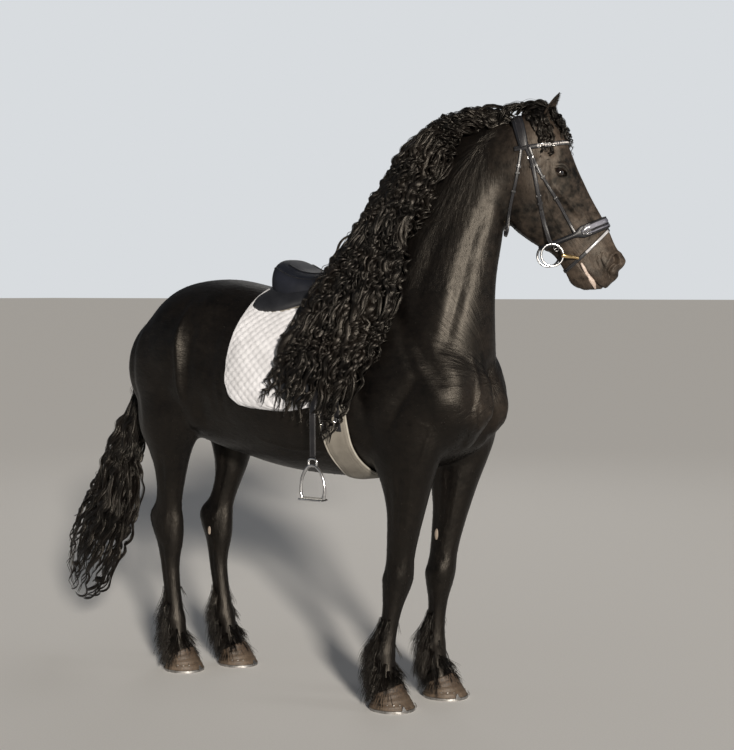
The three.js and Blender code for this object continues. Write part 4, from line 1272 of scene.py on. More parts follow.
    def unwrap(self) -> None:
        """Unrolls each part of the body onto its own strip, and lays the lie of the coat in a second map."""
        me = self.obj.data
        faces = corners_of(self.obj)
        p = own(points_of(self.obj))
        corner = p[faces]
        mid = corner.reshape(-1, 3, 3).mean(1)
        part = self.region(mid)
        every = np.repeat(part, 3)
        turn, length = np.zeros(len(faces)), np.zeros(len(faces))
        h, z, out = head_coords(corner)
        for k in range(len(PART_RADIUS)):
            m = every == k
            if k == 0:
                ang = np.arctan2(corner[m, 1], z[m] - 1230)
                run = (corner[m, 0] - TRUNK_SPAN[0]) / TRUNK_SPAN[1]
            elif k < 5:
                leg = tuple(LEGS)[k - 1]
                c = leg_centre(leg, z[m])
                ang = np.arctan2(corner[m, 1] - c[:, 1], corner[m, 0] - c[:, 0])
                run = z[m] / LEG_SPAN
            elif k == 5:
                ang = np.arctan2(corner[m, 1] - 30, corner[m, 0] - np.interp(z[m], *NECK_CORE))
                run = (z[m] - NECK_SPAN[0]) / NECK_SPAN[1]
            else:
                ang = np.arctan2(out[m], h[m] - np.interp(z[m], *HEAD_CORE))
                run = (z[m] - HEAD_SPAN[0]) / HEAD_SPAN[1]
            turn[m], length[m] = ang, run
        trio = turn.reshape(-1, 3)
        wraps = (trio.max(1) - trio.min(1)) > math.pi
        trio[wraps] = np.where(trio[wraps] < 0, trio[wraps] + 2 * math.pi, trio[wraps])
        u = (every + 0.04 + 0.92 * (trio.reshape(-1) + math.pi) / STRIP_TURN) / len(PART_RADIUS)
        uv = np.stack([u, 0.02 + 0.96 * np.clip(length, 0, 1)], 1)
        lay_map(self.obj, "OFBake", uv)
        self.uv = uv.reshape(-1, 3, 2)
        self.lay_coat(corner, every, trio.reshape(-1))
        me.calc_loop_triangles()
        tri = np.zeros(len(me.loop_triangles) * 3, np.int32)
        me.loop_triangles.foreach_get("vertices", tri)
        self.tree = BVHTree.FromPolygons(points_of(self.obj).tolist(), tri.reshape(-1, 3).tolist())

    def lay_coat(self, corner: Array, part: Array, turn: Array) -> None:
        """Writes the map that hair streaks follow: across the lie of the coat, and along it, in metres.

        Args:
            corner: Each corner's place in the horse's frame.
            part: Each corner's part of the body.
            turn: Each corner's angle round its part.
        """
        radius = PART_RADIUS[part]
        h, z, _ = head_coords(corner)
        along = np.select([part == 0, part == 6], [corner[:, 0] * 0.94 + z * 0.34, -h * 0.5 + z * 0.86], z)
        lay_map(self.obj, "Lie", np.stack([turn * radius, along], 1).astype(np.float32) / 1000)

    def place_on_map(self, roots: Array) -> Array:
        """Gives the place on the unwrap of the skin nearest to each root, in metres of the row frame."""
        found = [self.tree.find_nearest(Vector(r))[2] for r in roots]
        return self.uv[np.array([0 if f is None else f for f in found])].mean(1)

    def hit(self, start: Array, aim: Array) -> tuple[Array, Array] | None:
        """Casts a ray at the skin.

        Args:
            start: Where it starts, in the horse's frame.
            aim: Its direction.

        Returns:
            The place hit in the horse's frame and the normal there, or None.
        """
        p, n, _, _ = self.tree.ray_cast(Vector(row(start)), Vector(aim))
        return None if p is None else (own(np.array(p)), np.array(n))


@dataclass(frozen=True)
class Eye:
    """One eye.

    Attributes:
        side: -1 on the right, 1 on the left.
        radius: Radius of the ball in millimetres.
        forward: Place forward of the poll.
        height: Height over the ground.
        out: Distance from the head's plane.
    """

    side: int
    radius: float = 22.0
    forward: float = 144.5
    height: float = 2001.0
    out: float = 81.0

    def centre(self) -> Array:
        """Gives the middle of the ball in the horse's frame."""
        return in_head(self.forward, self.height, self.side * self.out)

    def axes(self) -> tuple[Array, Array, Array]:
        """Gives the directions along the lids towards the nose, up, and out of the eye."""
        gaze = unit(ASIDE * self.side * 0.9 + AHEAD * 0.36 + UP * 0.02)
        along = unit(AHEAD * 0.9 - UP * 0.42 - gaze * ((AHEAD * 0.9 - UP * 0.42) @ gaze))
        up = np.cross(gaze, along) * self.side
        return along, up if up[2] > 0 else -up, gaze

    def build(self, name: str, node: str) -> None:
        """Makes the ball with its clear bulge.

        Args:
            name: Name of the piece.
            node: The CAD node it replaces.
        """
        obj = named(primitive("uv_sphere", segments=48, ring_count=32, radius=1.0), name)
        ball = points_of(obj)
        along, up, gaze = self.axes()
        bulge = 1 + 0.055 * np.exp(-(((1 - ball[:, 2]) / 0.16) ** 2))
        local = ball * ((self.radius - 0.9) / 1000) * np.where(ball[:, 2] > 0, bulge, 1)[:, None]
        put_points(obj, row(self.centre()) + local[:, :1] * along + local[:, 1:2] * up + local[:, 2:] * gaze)
        face_out(obj)
        lay_map(obj, "Gaze", local[corners_of(obj), :2])
        bpy.ops.object.shade_smooth()
        shown(obj, EYEBALL, "eye", node)


# Hair


def weave(
    paths: Array, half: Array, wide: Array, flat: float, sides: int, bake: Array, rng: np.random.Generator
) -> tuple[Array, Array, Array, Array]:
    """Makes closed tapering locks along many paths.

    Args:
        paths: Points of each lock, in millimetres of the horse's frame.
        half: Half the lock's width at each point but the last.
        wide: The way each lock is wide, at each point.
        flat: Thickness over width.
        sides: Number of sides.
        bake: Each root's place on the skin's unwrap.
        rng: Source of the shift between the locks' fibres.

    Returns:
        Points, triangles, and the two UV maps by corner: at the root's place, and along the lock.
    """
    n, k, _ = paths.shape
    tangent = unit(np.gradient(paths, axis=1))
    thick = unit(np.cross(tangent, wide))
    across = np.cross(thick, tangent)
    rings = k - 1
    ang = 2 * np.pi * np.arange(sides) / sides
    body = paths[:, :-1, None] + half[:, :-1, None, None] * (
        np.cos(ang)[:, None] * across[:, :-1, None] + flat * np.sin(ang)[:, None] * thick[:, :-1, None]
    )
    verts = np.concatenate([body.reshape(n, -1, 3), paths[:, -1:], paths[:, :1]], 1)
    stride = rings * sides + 2
    j = np.arange(sides)
    nxt = (j + 1) % sides
    at = lambda x, r: np.stack([x, j * 0 + r], 1)
    tris, coords = [], []
    for r in range(rings - 1):
        a, b, c, d = r * sides + j, r * sides + nxt, (r + 1) * sides + nxt, (r + 1) * sides + j
        ua, ub, uc, ud = at(j, r), at(j + 1, r), at(j + 1, r + 1), at(j, r + 1)
        tris += [np.stack([a, b, c], 1), np.stack([a, c, d], 1)]
        coords += [np.stack([ua, ub, uc], 1), np.stack([ua, uc, ud], 1)]
    last = (rings - 1) * sides
    tris += [
        np.stack([last + j, last + nxt, j * 0 + stride - 2], 1), np.stack([nxt, j, j * 0 + stride - 1], 1)
    ]
    coords += [
        np.stack([at(j, rings - 1), at(j + 1, rings - 1), at(j + 0.5, rings)], 1),
        np.stack([at(j + 1, 0), at(j, 0), at(j + 0.5, 0)], 1),
    ]
    tri, uv = np.concatenate(tris), np.concatenate(coords).astype(float)
    faces = (tri[None] + stride * np.arange(n)[:, None, None]).reshape(-1, 3)
    share = uv / (sides, rings)
    patch = bake[:, None, None] + (share[None] - 0.5) * 0.003
    length = np.linalg.norm(np.diff(paths, axis=1), axis=2).sum(1) / 1000
    girth = half.max(1) * (1 + flat) * 3.1 / 1000
    along = np.stack(
        [
            share[None, ..., 0] * girth[:, None, None] + rng.uniform(0, 9, (n, 1, 1)),
            share[None, ..., 1] * length[:, None, None],
        ],
        -1,
    )
    return verts.reshape(-1, 3), faces, patch.reshape(-1, 2), along.reshape(-1, 2)


def hair_piece(name: str, parts: Sequence[tuple[Array, Array, Array, Array]]) -> bpy.types.Object:
    """Joins woven locks into one mesh object.

    Args:
        name: Its name.
        parts: What weave gave, once or more.

    Returns:
        The object.
    """
    verts, faces, bake, strand, at = [], [], [], [], 0
    for v, f, b, s in parts:
        verts.append(v)
        faces.append(f + at)
        bake.append(b)
        strand.append(s)
        at += len(v)
    return mesh_object(
        name, row(np.concatenate(verts)), np.concatenate(faces),
        {"OFBake": np.concatenate(bake), "Strand": np.concatenate(strand)},
    )


@dataclass(frozen=True)
class Fall:
    """A fall of long hair that hangs along guide lines.

    Attributes:
        name: Name of its pieces.
        node: The CAD node that it replaces.
        guides: Lines of points with a radius, all in millimetres, from root to tip.
        locks: Number of locks.
        strands: Fine strands to a lock.
        outward: The way that faces away from the body.
        wave: Length and height of the waves.
        thin: Thickness of the fall over its width.
        start: How far along a guide the locks may begin.
        span: Shortest and longest lock, as a share of the guide.
        rooted: Share of the locks that begin at the guide's start, on the skin.
        fat: Radius of a lock.
        wander: How far a lock strays sideways, in millimetres.
        parts: Number of mesh pieces.
        seed: Seed of its chances.
        steps: Number of points along a lock.
        grip: How far along it a lock has come up from the skin.
        crowd: Less than 1 gathers more locks on the later guides.
    """

    name: str
    node: str
    guides: tuple[Rows, ...]
    locks: int
    strands: int
    outward: tuple[float, float, float]
    wave: tuple[float, float]
    thin: float = 0.7
    start: tuple[float, float] = (0.0, 0.62)
    span: tuple[float, float] = (0.3, 0.48)
    rooted: float = 0.3
    fat: float = 11.0
    wander: float = 8.0
    parts: int = 2
    seed: int = 1
    steps: int = 60
    grip: float = 0.1
    crowd: float = 1.0

    def lines(self, rng: np.random.Generator, skin: Skin) -> tuple[Array, Array, Array, Array]:
        """Lays the middle line of each lock.

        Args:
            rng: Source of its chances.
            skin: The skin that they grow from.

        Returns:
            Points, the way across, the way out, and how far along each point lies from 0 to 1.
        """
        n, k = self.locks, self.steps
        g = np.stack([follow(line, 120) for line in self.guides])
        at = rng.uniform(0, 1, n) ** self.crowd * (len(g) - 1.001) if len(g) > 1 else np.zeros(n)
        i = np.minimum(at.astype(int), max(len(g) - 2, 0))
        f = (at - i)[:, None, None]
        deep = rng.uniform(0, 1, n) < self.rooted
        t0 = np.where(deep, rng.uniform(0, 0.04, n), rng.uniform(*self.start, n))
        t1 = np.minimum(t0 + rng.uniform(*self.span, n), 1.0)
        t = np.linspace(0, 1, k)[None]
        where = (t0[:, None] + (t1 - t0)[:, None] * t) * 119
        lo = np.clip(where.astype(int), 0, 118)
        part = (where - lo)[..., None]
        pick = np.arange(n)[:, None]
        nxt = np.minimum(i + 1, len(g) - 1)
        both = []
        for which in (i, nxt):
            grid = g[which]
            both.append(grid[pick, lo] * (1 - part) + grid[pick, lo + 1] * part)
        line = both[0] * (1 - f) + both[1] * f
        gone = np.cumsum(np.linalg.norm(np.diff(g[..., :3], axis=1, prepend=g[:, :1, :3]), axis=2), 1)
        runs = [
            gone[which][pick, lo] * (1 - part[..., 0]) + gone[which][pick, lo + 1] * part[..., 0]
            for which in (i, nxt)
        ]
        run = runs[0] * (1 - f[..., 0]) + runs[1] * f[..., 0]
        p, radius = line[..., :3], line[..., 3:]
        tangent = unit(np.gradient(p, axis=1))
        out = np.asarray(self.outward, float)
        across = unit(np.cross(tangent, out))
        outs = np.cross(across, tangent)
        rho, phi = np.sqrt(rng.uniform(0, 1, n)) * 0.88, rng.uniform(-0.35, np.pi + 0.35, n)
        gather = (0.5 + 0.5 * step(0, 0.2, t))[..., None]
        lean = (
            (rho * np.cos(phi))[:, None, None] * across
            + self.thin * (rho * np.sin(phi))[:, None, None] * outs
        )
        p = p + radius * gather * lean
        feet = np.array([own(np.array(skin.tree.find_nearest(Vector(r))[0])) for r in row(p[:, 0])])
        pull = feet - p[:, 0]
        pull *= np.minimum(1, np.where(deep, 400, 26) / np.maximum(np.linalg.norm(pull, axis=1), 1))[:, None]
        p = p + pull[:, None] * (1 - step(0.0, self.grip, t))[..., None]
        s = np.concatenate([np.zeros((n, 1)), np.cumsum(np.linalg.norm(np.diff(p, axis=1), axis=2), 1)], 1)
        chance = lambda low, high: rng.uniform(low, high, n)[:, None]
        slow = 2 * np.pi * s / chance(210, 330) + chance(0, 6.28)
        p = (
            p + (self.wander * step(0, 0.2, t) * np.sin(slow))[..., None] * across
            + (0.5 * self.wander * step(0, 0.2, t) * np.cos(0.7 * slow))[..., None] * outs
        )
        size = self.wave[1] * chance(0.5, 1.4) * (
            1 + 0.3 * np.sin(2 * np.pi * s / chance(90, 200) + chance(0, 6.28))
        )
        drift = (
            26 * np.sin(2 * np.pi * run / 310 + 1.7 * at[:, None])
            + 15 * np.sin(2 * np.pi * run / 170 + 2.9 * at[:, None])
        )
        turn = (
            2 * np.pi * (run + drift) / self.wave[0] + rng.normal(0, 0.55, n)[:, None]
            + 0.5 * np.sin(2 * np.pi * s / 150 + chance(0, 6.28))
        )
        ramp = step(0.0, 0.12, t) * size
        p = (
            p + (0.85 * ramp * np.sin(turn))[..., None] * across
            + (0.9 * ramp * np.cos(turn))[..., None] * outs
        )
        return p, across, outs, np.broadcast_to(t, (n, k))

    def build(self, skin: Skin) -> None:
        """Makes the locks with their strands and dresses them.

        Args:
            skin: The skin that they grow from.
        """
        rng = np.random.default_rng(self.seed)
        core, across, outs, t = self.lines(rng, skin)
        roots = skin.place_on_map(row(core[:, 0]))
        k, m = self.steps, self.strands
        groups = np.array_split(np.arange(self.locks), self.parts)
        for number, mine in enumerate(groups, 1):
            c, a, o, n = core[mine], across[mine], outs[mine], len(mine)
            width = self.fat * rng.uniform(0.6, 1.15, (n, 1)) * (1 - 0.86 * t[mine] ** 2.4) * (
                0.4 + 0.6 * step(0, 0.15, t[mine])
            )
            made = [weave(c, width, a, 0.42, 5, roots[mine], rng)]
            reach = (k - 1) * np.clip(rng.normal(0.95, 0.07, (n, m, 1)), 0.7, 1.0)
            where = np.clip(reach * np.linspace(0, 1, k) + rng.uniform(-1.3, 1.3, (n, m, 1)), 0, k - 1.001)
            lo = where.astype(int)
            f = (where - lo)[..., None]
            pick = np.arange(n)[:, None, None]
            get = lambda table: table[pick, lo] * (1 - f) + table[pick, lo + 1] * f
            rho, phi = rng.uniform(0.8, 1.8, (n, m, 1)), rng.uniform(0, 2 * np.pi, (n, m, 1))
            twist = phi + rng.uniform(-1.6, 1.6, (n, m, 1)) * np.linspace(0, 1, k)
            fuzz = 1 + 0.9 * (rng.uniform(0, 1, (n, m, 1)) < 0.06) * np.linspace(0.3, 1.4, k)
            off = (get(width[..., None])[..., 0] * rho * fuzz)[..., None]
            path = (
                get(c)
                + off * (np.cos(twist)[..., None] * get(a) + 0.55 * np.abs(np.sin(twist))[..., None] * get(o))
            )
            ripple = 2 * np.pi * np.linspace(0, 1, k) * rng.uniform(6, 10, (n, m, 1)) + phi
            path += (0.9 * np.sin(ripple))[..., None] * get(a)
            thickness = rng.uniform(1.0, 2.2, (n, m, 1)) * (1 - 0.75 * np.linspace(0, 1, k) ** 3) * (
                0.7 + 0.3 * step(0, 0.1, np.linspace(0, 1, k))
            )
            bake = np.repeat(roots[mine], m, 0) + rng.uniform(-0.003, 0.003, (n * m, 2))
            made.append(
                weave(
                    path.reshape(n * m, k, 3), thickness.reshape(n * m, k), get(a).reshape(n * m, k, 3), 0.5,
                    3, bake, rng,
                )
            )
            shown(hair_piece(f"{self.name}_{number}", made), HAIR, "hair", self.node)


MANE_GUIDES = (
    (
        (868, 120, 2224, 22), (826, 104, 2232, 30), (770, 84, 2230, 36), (712, 62, 2208, 40),
        (668, 34, 2160, 44), (640, 2, 2085, 46), (618, -34, 1990, 44), (598, -66, 1895, 36),
        (580, -92, 1800, 18),
    ),
    (
        (845, 108, 2212, 35), (760, 80, 2205, 45), (690, 40, 2190, 50), (625, 0, 2145, 55),
        (590, -40, 2070, 55), (565, -80, 1980, 50), (545, -110, 1875, 45), (525, -140, 1770, 36),
        (505, -160, 1680, 20),
    ),
    (
        (790, 90, 2225, 30), (695, 60, 2215, 45), (620, 20, 2185, 60), (560, -10, 2125, 65),
        (520, -50, 2035, 65), (495, -90, 1935, 65), (485, -125, 1820, 60), (485, -165, 1700, 60),
        (495, -200, 1565, 60), (495, -235, 1440, 50), (460, -258, 1325, 22),
    ),
    (
        (655, 70, 2215, 30), (575, 40, 2185, 45), (515, 0, 2110, 60), (465, -30, 2020, 65),
        (435, -60, 1915, 65), (405, -95, 1815, 70), (400, -145, 1700, 70), (405, -200, 1585, 70),
        (400, -245, 1465, 70), (385, -275, 1335, 70), (360, -292, 1205, 65), (330, -305, 1075, 40),
        (305, -305, 985, 14),
    ),
    (
        (515, 30, 2135, 30), (455, 0, 2055, 50), (420, -30, 1955, 65), (375, -65, 1855, 70),
        (340, -110, 1745, 75), (305, -165, 1645, 80), (285, -225, 1535, 80), (265, -280, 1415, 80),
        (245, -320, 1285, 75), (220, -345, 1165, 55), (200, -348, 1065, 22),
    ),
    (
        (430, 0, 2005, 30), (370, -25, 1905, 45), (320, -65, 1795, 60), (270, -115, 1700, 65),
        (225, -175, 1600, 70), (180, -240, 1500, 70), (145, -300, 1395, 70), (110, -340, 1290, 62),
        (65, -355, 1190, 42), (20, -355, 1130, 16),
    ),
)
TAIL_GUIDES = (
    (
        (-762, 0, 1446, 30), (-808, 0, 1400, 46), (-838, 0, 1310, 54), (-858, 0, 1210, 62),
        (-888, 0, 1095, 78), (-938, 5, 965, 118), (-982, 10, 850, 162), (-1016, 20, 735, 204),
        (-1078, 28, 610, 236), (-1150, 38, 490, 246), (-1222, 48, 375, 232), (-1282, 52, 290, 176),
        (-1316, 55, 235, 84),
    ),
)
FORELOCK_GUIDES = (
    (
        (0, 2234, -20, 24), (56, 2244, -40, 32), (104, 2218, -62, 34), (140, 2158, -78, 30),
        (164, 2104, -82, 24), (176, 2056, -80, 12),
    ),
    (
        (6, 2238, 0, 28), (66, 2250, 0, 36), (118, 2240, -4, 38), (164, 2184, -12, 36), (190, 2118, -20, 28),
        (204, 2052, -24, 12),
    ),
    (
        (0, 2234, 20, 24), (56, 2244, 38, 30), (104, 2218, 60, 32), (140, 2158, 76, 28), (164, 2104, 80, 22),
        (176, 2060, 78, 12),
    ),
)
TEMPLE_GUIDES = (
    (
        (22, 2234, -36, 20), (52, 2206, -66, 24), (66, 2158, -86, 22), (72, 2114, -96, 9),
        (74, 2080, -99, 16), (66, 2044, -99, 10),
    ),
    (
        (44, 2238, -40, 22), (84, 2208, -70, 26), (104, 2160, -88, 24), (108, 2112, -96, 9),
        (98, 2078, -99, 15), (86, 2048, -99, 9),
    ),
)
POLL_GUIDES = (
    (
        (-86, 2214, -30, 26), (-34, 2240, -28, 28), (24, 2250, -26, 26), (84, 2244, -30, 24),
        (128, 2206, -40, 14),
    ),
    ((-86, 2216, 10, 26), (-34, 2244, 8, 28), (24, 2254, 6, 26), (84, 2250, 4, 24), (132, 2212, 0, 14)),
)


def slim(guides: tuple[Rows, ...], share: float) -> tuple[Rows, ...]:
    """Gives the same guides with smaller radii, for the locks that lie deeper."""
    return tuple(tuple((*row[:3], row[3] * share) for row in line) for line in guides)


def head_guides(guides: tuple[Rows, ...]) -> tuple[Rows, ...]:
    """Turns guides given in the head's plane, as forward, height, out and radius, to the horse's frame."""
    return tuple(tuple((*in_head(h, z, out), r) for h, z, out, r in line) for line in guides)


FALLS = (
    Fall(
        "mane", "mane", MANE_GUIDES, 290, 3, (0.15, -0.85, 0.5), (72, 10), start=(0, 0.74), crowd=0.72,
        seed=21, parts=3, steps=60, fat=10,
    ),
    Fall(
        "mane_under", "mane", slim(MANE_GUIDES[1:], 0.55), 96, 1, (0.15, -0.85, 0.5), (76, 9),
        start=(0, 0.66), crowd=0.8, rooted=0.2, seed=22, parts=1, steps=46, fat=24,
    ),
    Fall(
        "tail", "tail", TAIL_GUIDES, 150, 5, (-0.4, -0.9, 0.2), (120, 7.5), thin=0.55, start=(0, 0.5),
        span=(0.42, 0.72), fat=12, wander=18, seed=23, parts=2, steps=52, grip=0.15,
    ),
    Fall(
        "tail_under", "tail", slim(TAIL_GUIDES, 0.6), 54, 1, (-0.4, -0.9, 0.2), (110, 9), thin=0.45,
        start=(0, 0.45), span=(0.4, 0.6), fat=27, wander=16, seed=25, parts=1, steps=44, grip=0.15,
    ),
    Fall(
        "forelock", "forelock", head_guides(FORELOCK_GUIDES), 60, 3, tuple(AHEAD * 0.9 + UP * 0.4), (38, 5.5),
        start=(0, 0.4), span=(0.45, 0.8), rooted=0.5, fat=9, seed=24, parts=1, steps=44, grip=0.3,
    ),
    Fall(
        "temple_locks", "forelock", head_guides(TEMPLE_GUIDES), 26, 3, tuple(AHEAD * 0.1 - ASIDE), (34, 5),
        start=(0, 0.5), span=(0.4, 0.7), rooted=0.5, fat=8, seed=26, parts=1, steps=36, grip=0.3,
    ),
    Fall(
        "poll_locks", "forelock", head_guides(POLL_GUIDES), 34, 3, tuple(UP), (44, 4.5), start=(0, 0.5),
        span=(0.4, 0.7), rooted=0.3, fat=9, seed=27, parts=1, steps=36, grip=0.3,
    ),
)


@dataclass(frozen=True)
class Feathers:
    """The long hair round one fetlock.

    Attributes:
        leg: The leg's CAD node.
        tufts: Number of tufts.
        strands: Fine strands to a tuft.
        steps: Number of points along a tuft.
        seed: Seed of its chances.
        skirt: Height, front, back and half width of its outline, in millimetres.
    """

    leg: str
    tufts: int = 210
    strands: int = 7
    steps: int = 8
    seed: int = 3
    skirt: tuple[tuple[float, ...], ...] = (
        (40, 60, -98, 78), (52, 62, -102, 76), (92, 74, -104, 72), (140, 60, -108, 66), (205, 52, -100, 58),
        (270, 42, -76, 46), (330, 38, -52, 37), (460, 38, -50, 36),
    )

    def build(self, skin: Skin) -> None:
        """Makes the tufts, short in front and long behind, and dresses them.

        Args:
            skin: The skin that they grow from.
        """
        end, side = self.leg.replace("leg", "").split("_")
        rng = np.random.default_rng(self.seed)
        n, m, k = self.tufts, self.strands, self.steps
        back = rng.uniform(0, 1, n) < 0.62
        ang = np.where(back, np.pi + rng.normal(0, 0.85, n), rng.uniform(-np.pi, np.pi, n))
        behind = 0.5 - 0.5 * np.cos(ang)
        z0 = np.where(
            back, 70 + 265 * rng.uniform(0, 1, n) ** 0.9, 64 + (96 + 70 * behind) * rng.uniform(0, 1, n)
        )
        fall = np.minimum(
            (34 + 62 * behind) * rng.uniform(0.8, 1.5, n) * (0.8 + 0.5 * behind * step(120, 260, z0)), z0 - 16
        )
        t = np.linspace(0, 1, k)[None]
        z = z0[:, None] - fall[:, None] * t**0.92
        c = leg_centre(self.leg, z)
        leg = read_off(SHANKS[end], np.maximum(z0, CORONET))[:, None]
        hem = read_off(self.skirt, z)
        blend = step(0, 1, t**0.7)[..., None] * rng.uniform(0.55, 1.0, (n, 1, 1))
        size = leg * 0.9 * (1 - blend) + hem * blend
        cos, sin = np.cos(ang)[:, None], np.sin(ang)[:, None]
        x = np.where(cos > 0, cos * size[..., 0], -cos * size[..., 1])
        p = np.stack([c[..., 0] + x, c[..., 1] + sin * size[..., 2], z], -1)
        outward = np.stack([cos, sin, 0 * cos], -1)
        across = np.broadcast_to(np.stack([-sin, cos, 0 * sin], -1), p.shape)
        turn = 2 * np.pi * t * fall[:, None] / rng.uniform(52, 80, (n, 1)) + rng.uniform(0, 6.28, (n, 1))
        p = p + (rng.uniform(0.8, 2.6, (n, 1)) * np.sin(turn) * step(0, 0.3, t))[..., None] * across
        p = p + rng.normal(0, 7, (n, 1, 1)) * t[..., None] ** 1.5 * across
        roots = skin.place_on_map(row(p[:, 0]))
        width = rng.uniform(2.0, 3.6, (n, 1)) * (1 - 0.9 * t**1.3)
        made = [weave(p, width, across, 0.4, 3, roots, rng)]
        off = rng.normal(0, 1, (n, m, 1, 2)) * np.linspace(3.2, 11.0, k)[None, None, :, None]
        fine = p[:, None] + off[..., :1] * across[:, None] + np.abs(off[..., 1:]) * outward[:, None]
        fine[..., 2] = np.maximum(fine[..., 2] - rng.uniform(0, 14, (n, m, 1)) * t[:, None], SOLE)
        thin = rng.uniform(0.7, 1.3, (n, m, 1)) * (1 - 0.7 * t[None] ** 2)
        flat = lambda v: v.reshape(n * m, k, -1)
        made.append(
            weave(
                flat(fine), flat(thin)[..., 0], flat(np.broadcast_to(across[:, None], fine.shape)), 0.6, 3,
                np.repeat(roots, m, 0), rng,
            )
        )
        shown(hair_piece(f"feathers_{end}_{side}", made), HAIR, "hair", f"feather_{end}_{side}")


@dataclass(frozen=True)
class ShortCoat:
    """Short tufts over the whole skin, densest where the coat breaks over a form.

    Attributes:
        tufts: Number of tufts.
        parts: Number of mesh pieces.
        seed: Seed of its chances.
    """

    tufts: int = 14000
    parts: int = 2
    seed: int = 5

    @staticmethod
    def lie(p: Array) -> Array:
        """Gives the way the coat lies at points of the horse's frame."""
        h, z, _ = head_coords(p)
        body = np.broadcast_to(np.array([-0.93, 0, -0.36]), p.shape)
        legs = np.broadcast_to(np.array([-0.12, 0, -0.99]), p.shape)
        neck = np.broadcast_to(np.array([-0.35, 0, -0.93]), p.shape)
        head = AHEAD * 0.42 - UP * 0.9
        low = (1 - step(760, 1060, z))[:, None]
        front = (step(520, 720, p[:, 0]) * (1 - step(1450, 1700, z)))[:, None]
        high = (step(1480, 1680, z) * step(280, 380, p[:, 0]))[:, None]
        face = (step(-60, 20, h) * step(1520, 1560, z))[:, None]
        way = body * (1 - high) + neck * high
        way = way * (1 - front) + legs * front
        way = way * (1 - low) + legs * low
        return unit(way * (1 - face) + head * face)

    def build(self, skin: Skin) -> None:
        """Sows the tufts and dresses them.

        Args:
            skin: The skin that they grow from.
        """
        rng = np.random.default_rng(self.seed)
        tri = corners_of(skin.obj).reshape(-1, 3)
        v, vn = own(points_of(skin.obj)), points_of(skin.obj, "normal")
        a, b, c = v[tri[:, 0]], v[tri[:, 1]], v[tri[:, 2]]
        mid, normal = (a + b + c) / 3, np.cross(b - a, c - a)
        area = np.linalg.norm(normal, axis=1) / 2
        chance = area * self.weight(mid, unit(normal))
        pick = rng.choice(len(tri), self.tufts, p=chance / chance.sum())
        w = rng.dirichlet((1, 1, 1), self.tufts)
        root = (w[:, :, None] * v[tri[pick]]).sum(1)
        n = unit((w[:, :, None] * vn[tri[pick]]).sum(1))
        uv = (w[:, :, None] * skin.uv[pick]).sum(1)
        way = self.lie(root) + rng.normal(0, 0.09, root.shape)
        way = unit(way - n * (way * n).sum(1, keepdims=True))
        length = self.length(root) * rng.uniform(0.7, 1.3, self.tufts)
        lift = np.array([-0.05, 0.05, 0.09])[None] * length[:, None]
        t = np.array([0.0, 0.5, 1.0])[None]
        p = root[:, None] + (t * length[:, None])[..., None] * way[:, None] + lift[..., None] * n[:, None]
        wide = np.broadcast_to(np.cross(n, way)[:, None], p.shape)
        half = (length * 0.05)[:, None] * np.array([0.8, 1.0, 0.0])
        for number, mine in enumerate(np.array_split(np.arange(self.tufts), self.parts), 1):
            made = weave(p[mine], half[mine], wide[mine], 0.35, 3, uv[mine], rng)
            shown(hair_piece(f"short_coat_{number}", [made]), HAIR, "coat", *skin.nodes)

    @staticmethod
    def weight(p: Array, n: Array) -> Array:
        """Gives how densely tufts stand: densest low on the legs, at the backs of the legs, under the belly,
        throat and jaw, and on the face.
        """
        h, z, _ = head_coords(p)
        low = 1 - step(420, 760, z)
        under = step(0.3, 0.9, -n[:, 2])
        face = step(-60, 0, h) * (z > 1540)
        back = step(0.3, 0.9, -n[:, 0]) * (z < 900)
        return 0.16 + 1.6 * low + 1.3 * under + 2.2 * back + 1.4 * face

    @staticmethod
    def length(p: Array) -> Array:
        """Gives the tufts' length in millimetres: shortest on the face and the cannons."""
        h, z, _ = head_coords(p)
        face = step(-80, 60, h) * (z > 1540)
        low = 1 - step(300, 900, z)
        return 15 - 8.5 * face - 4.0 * low


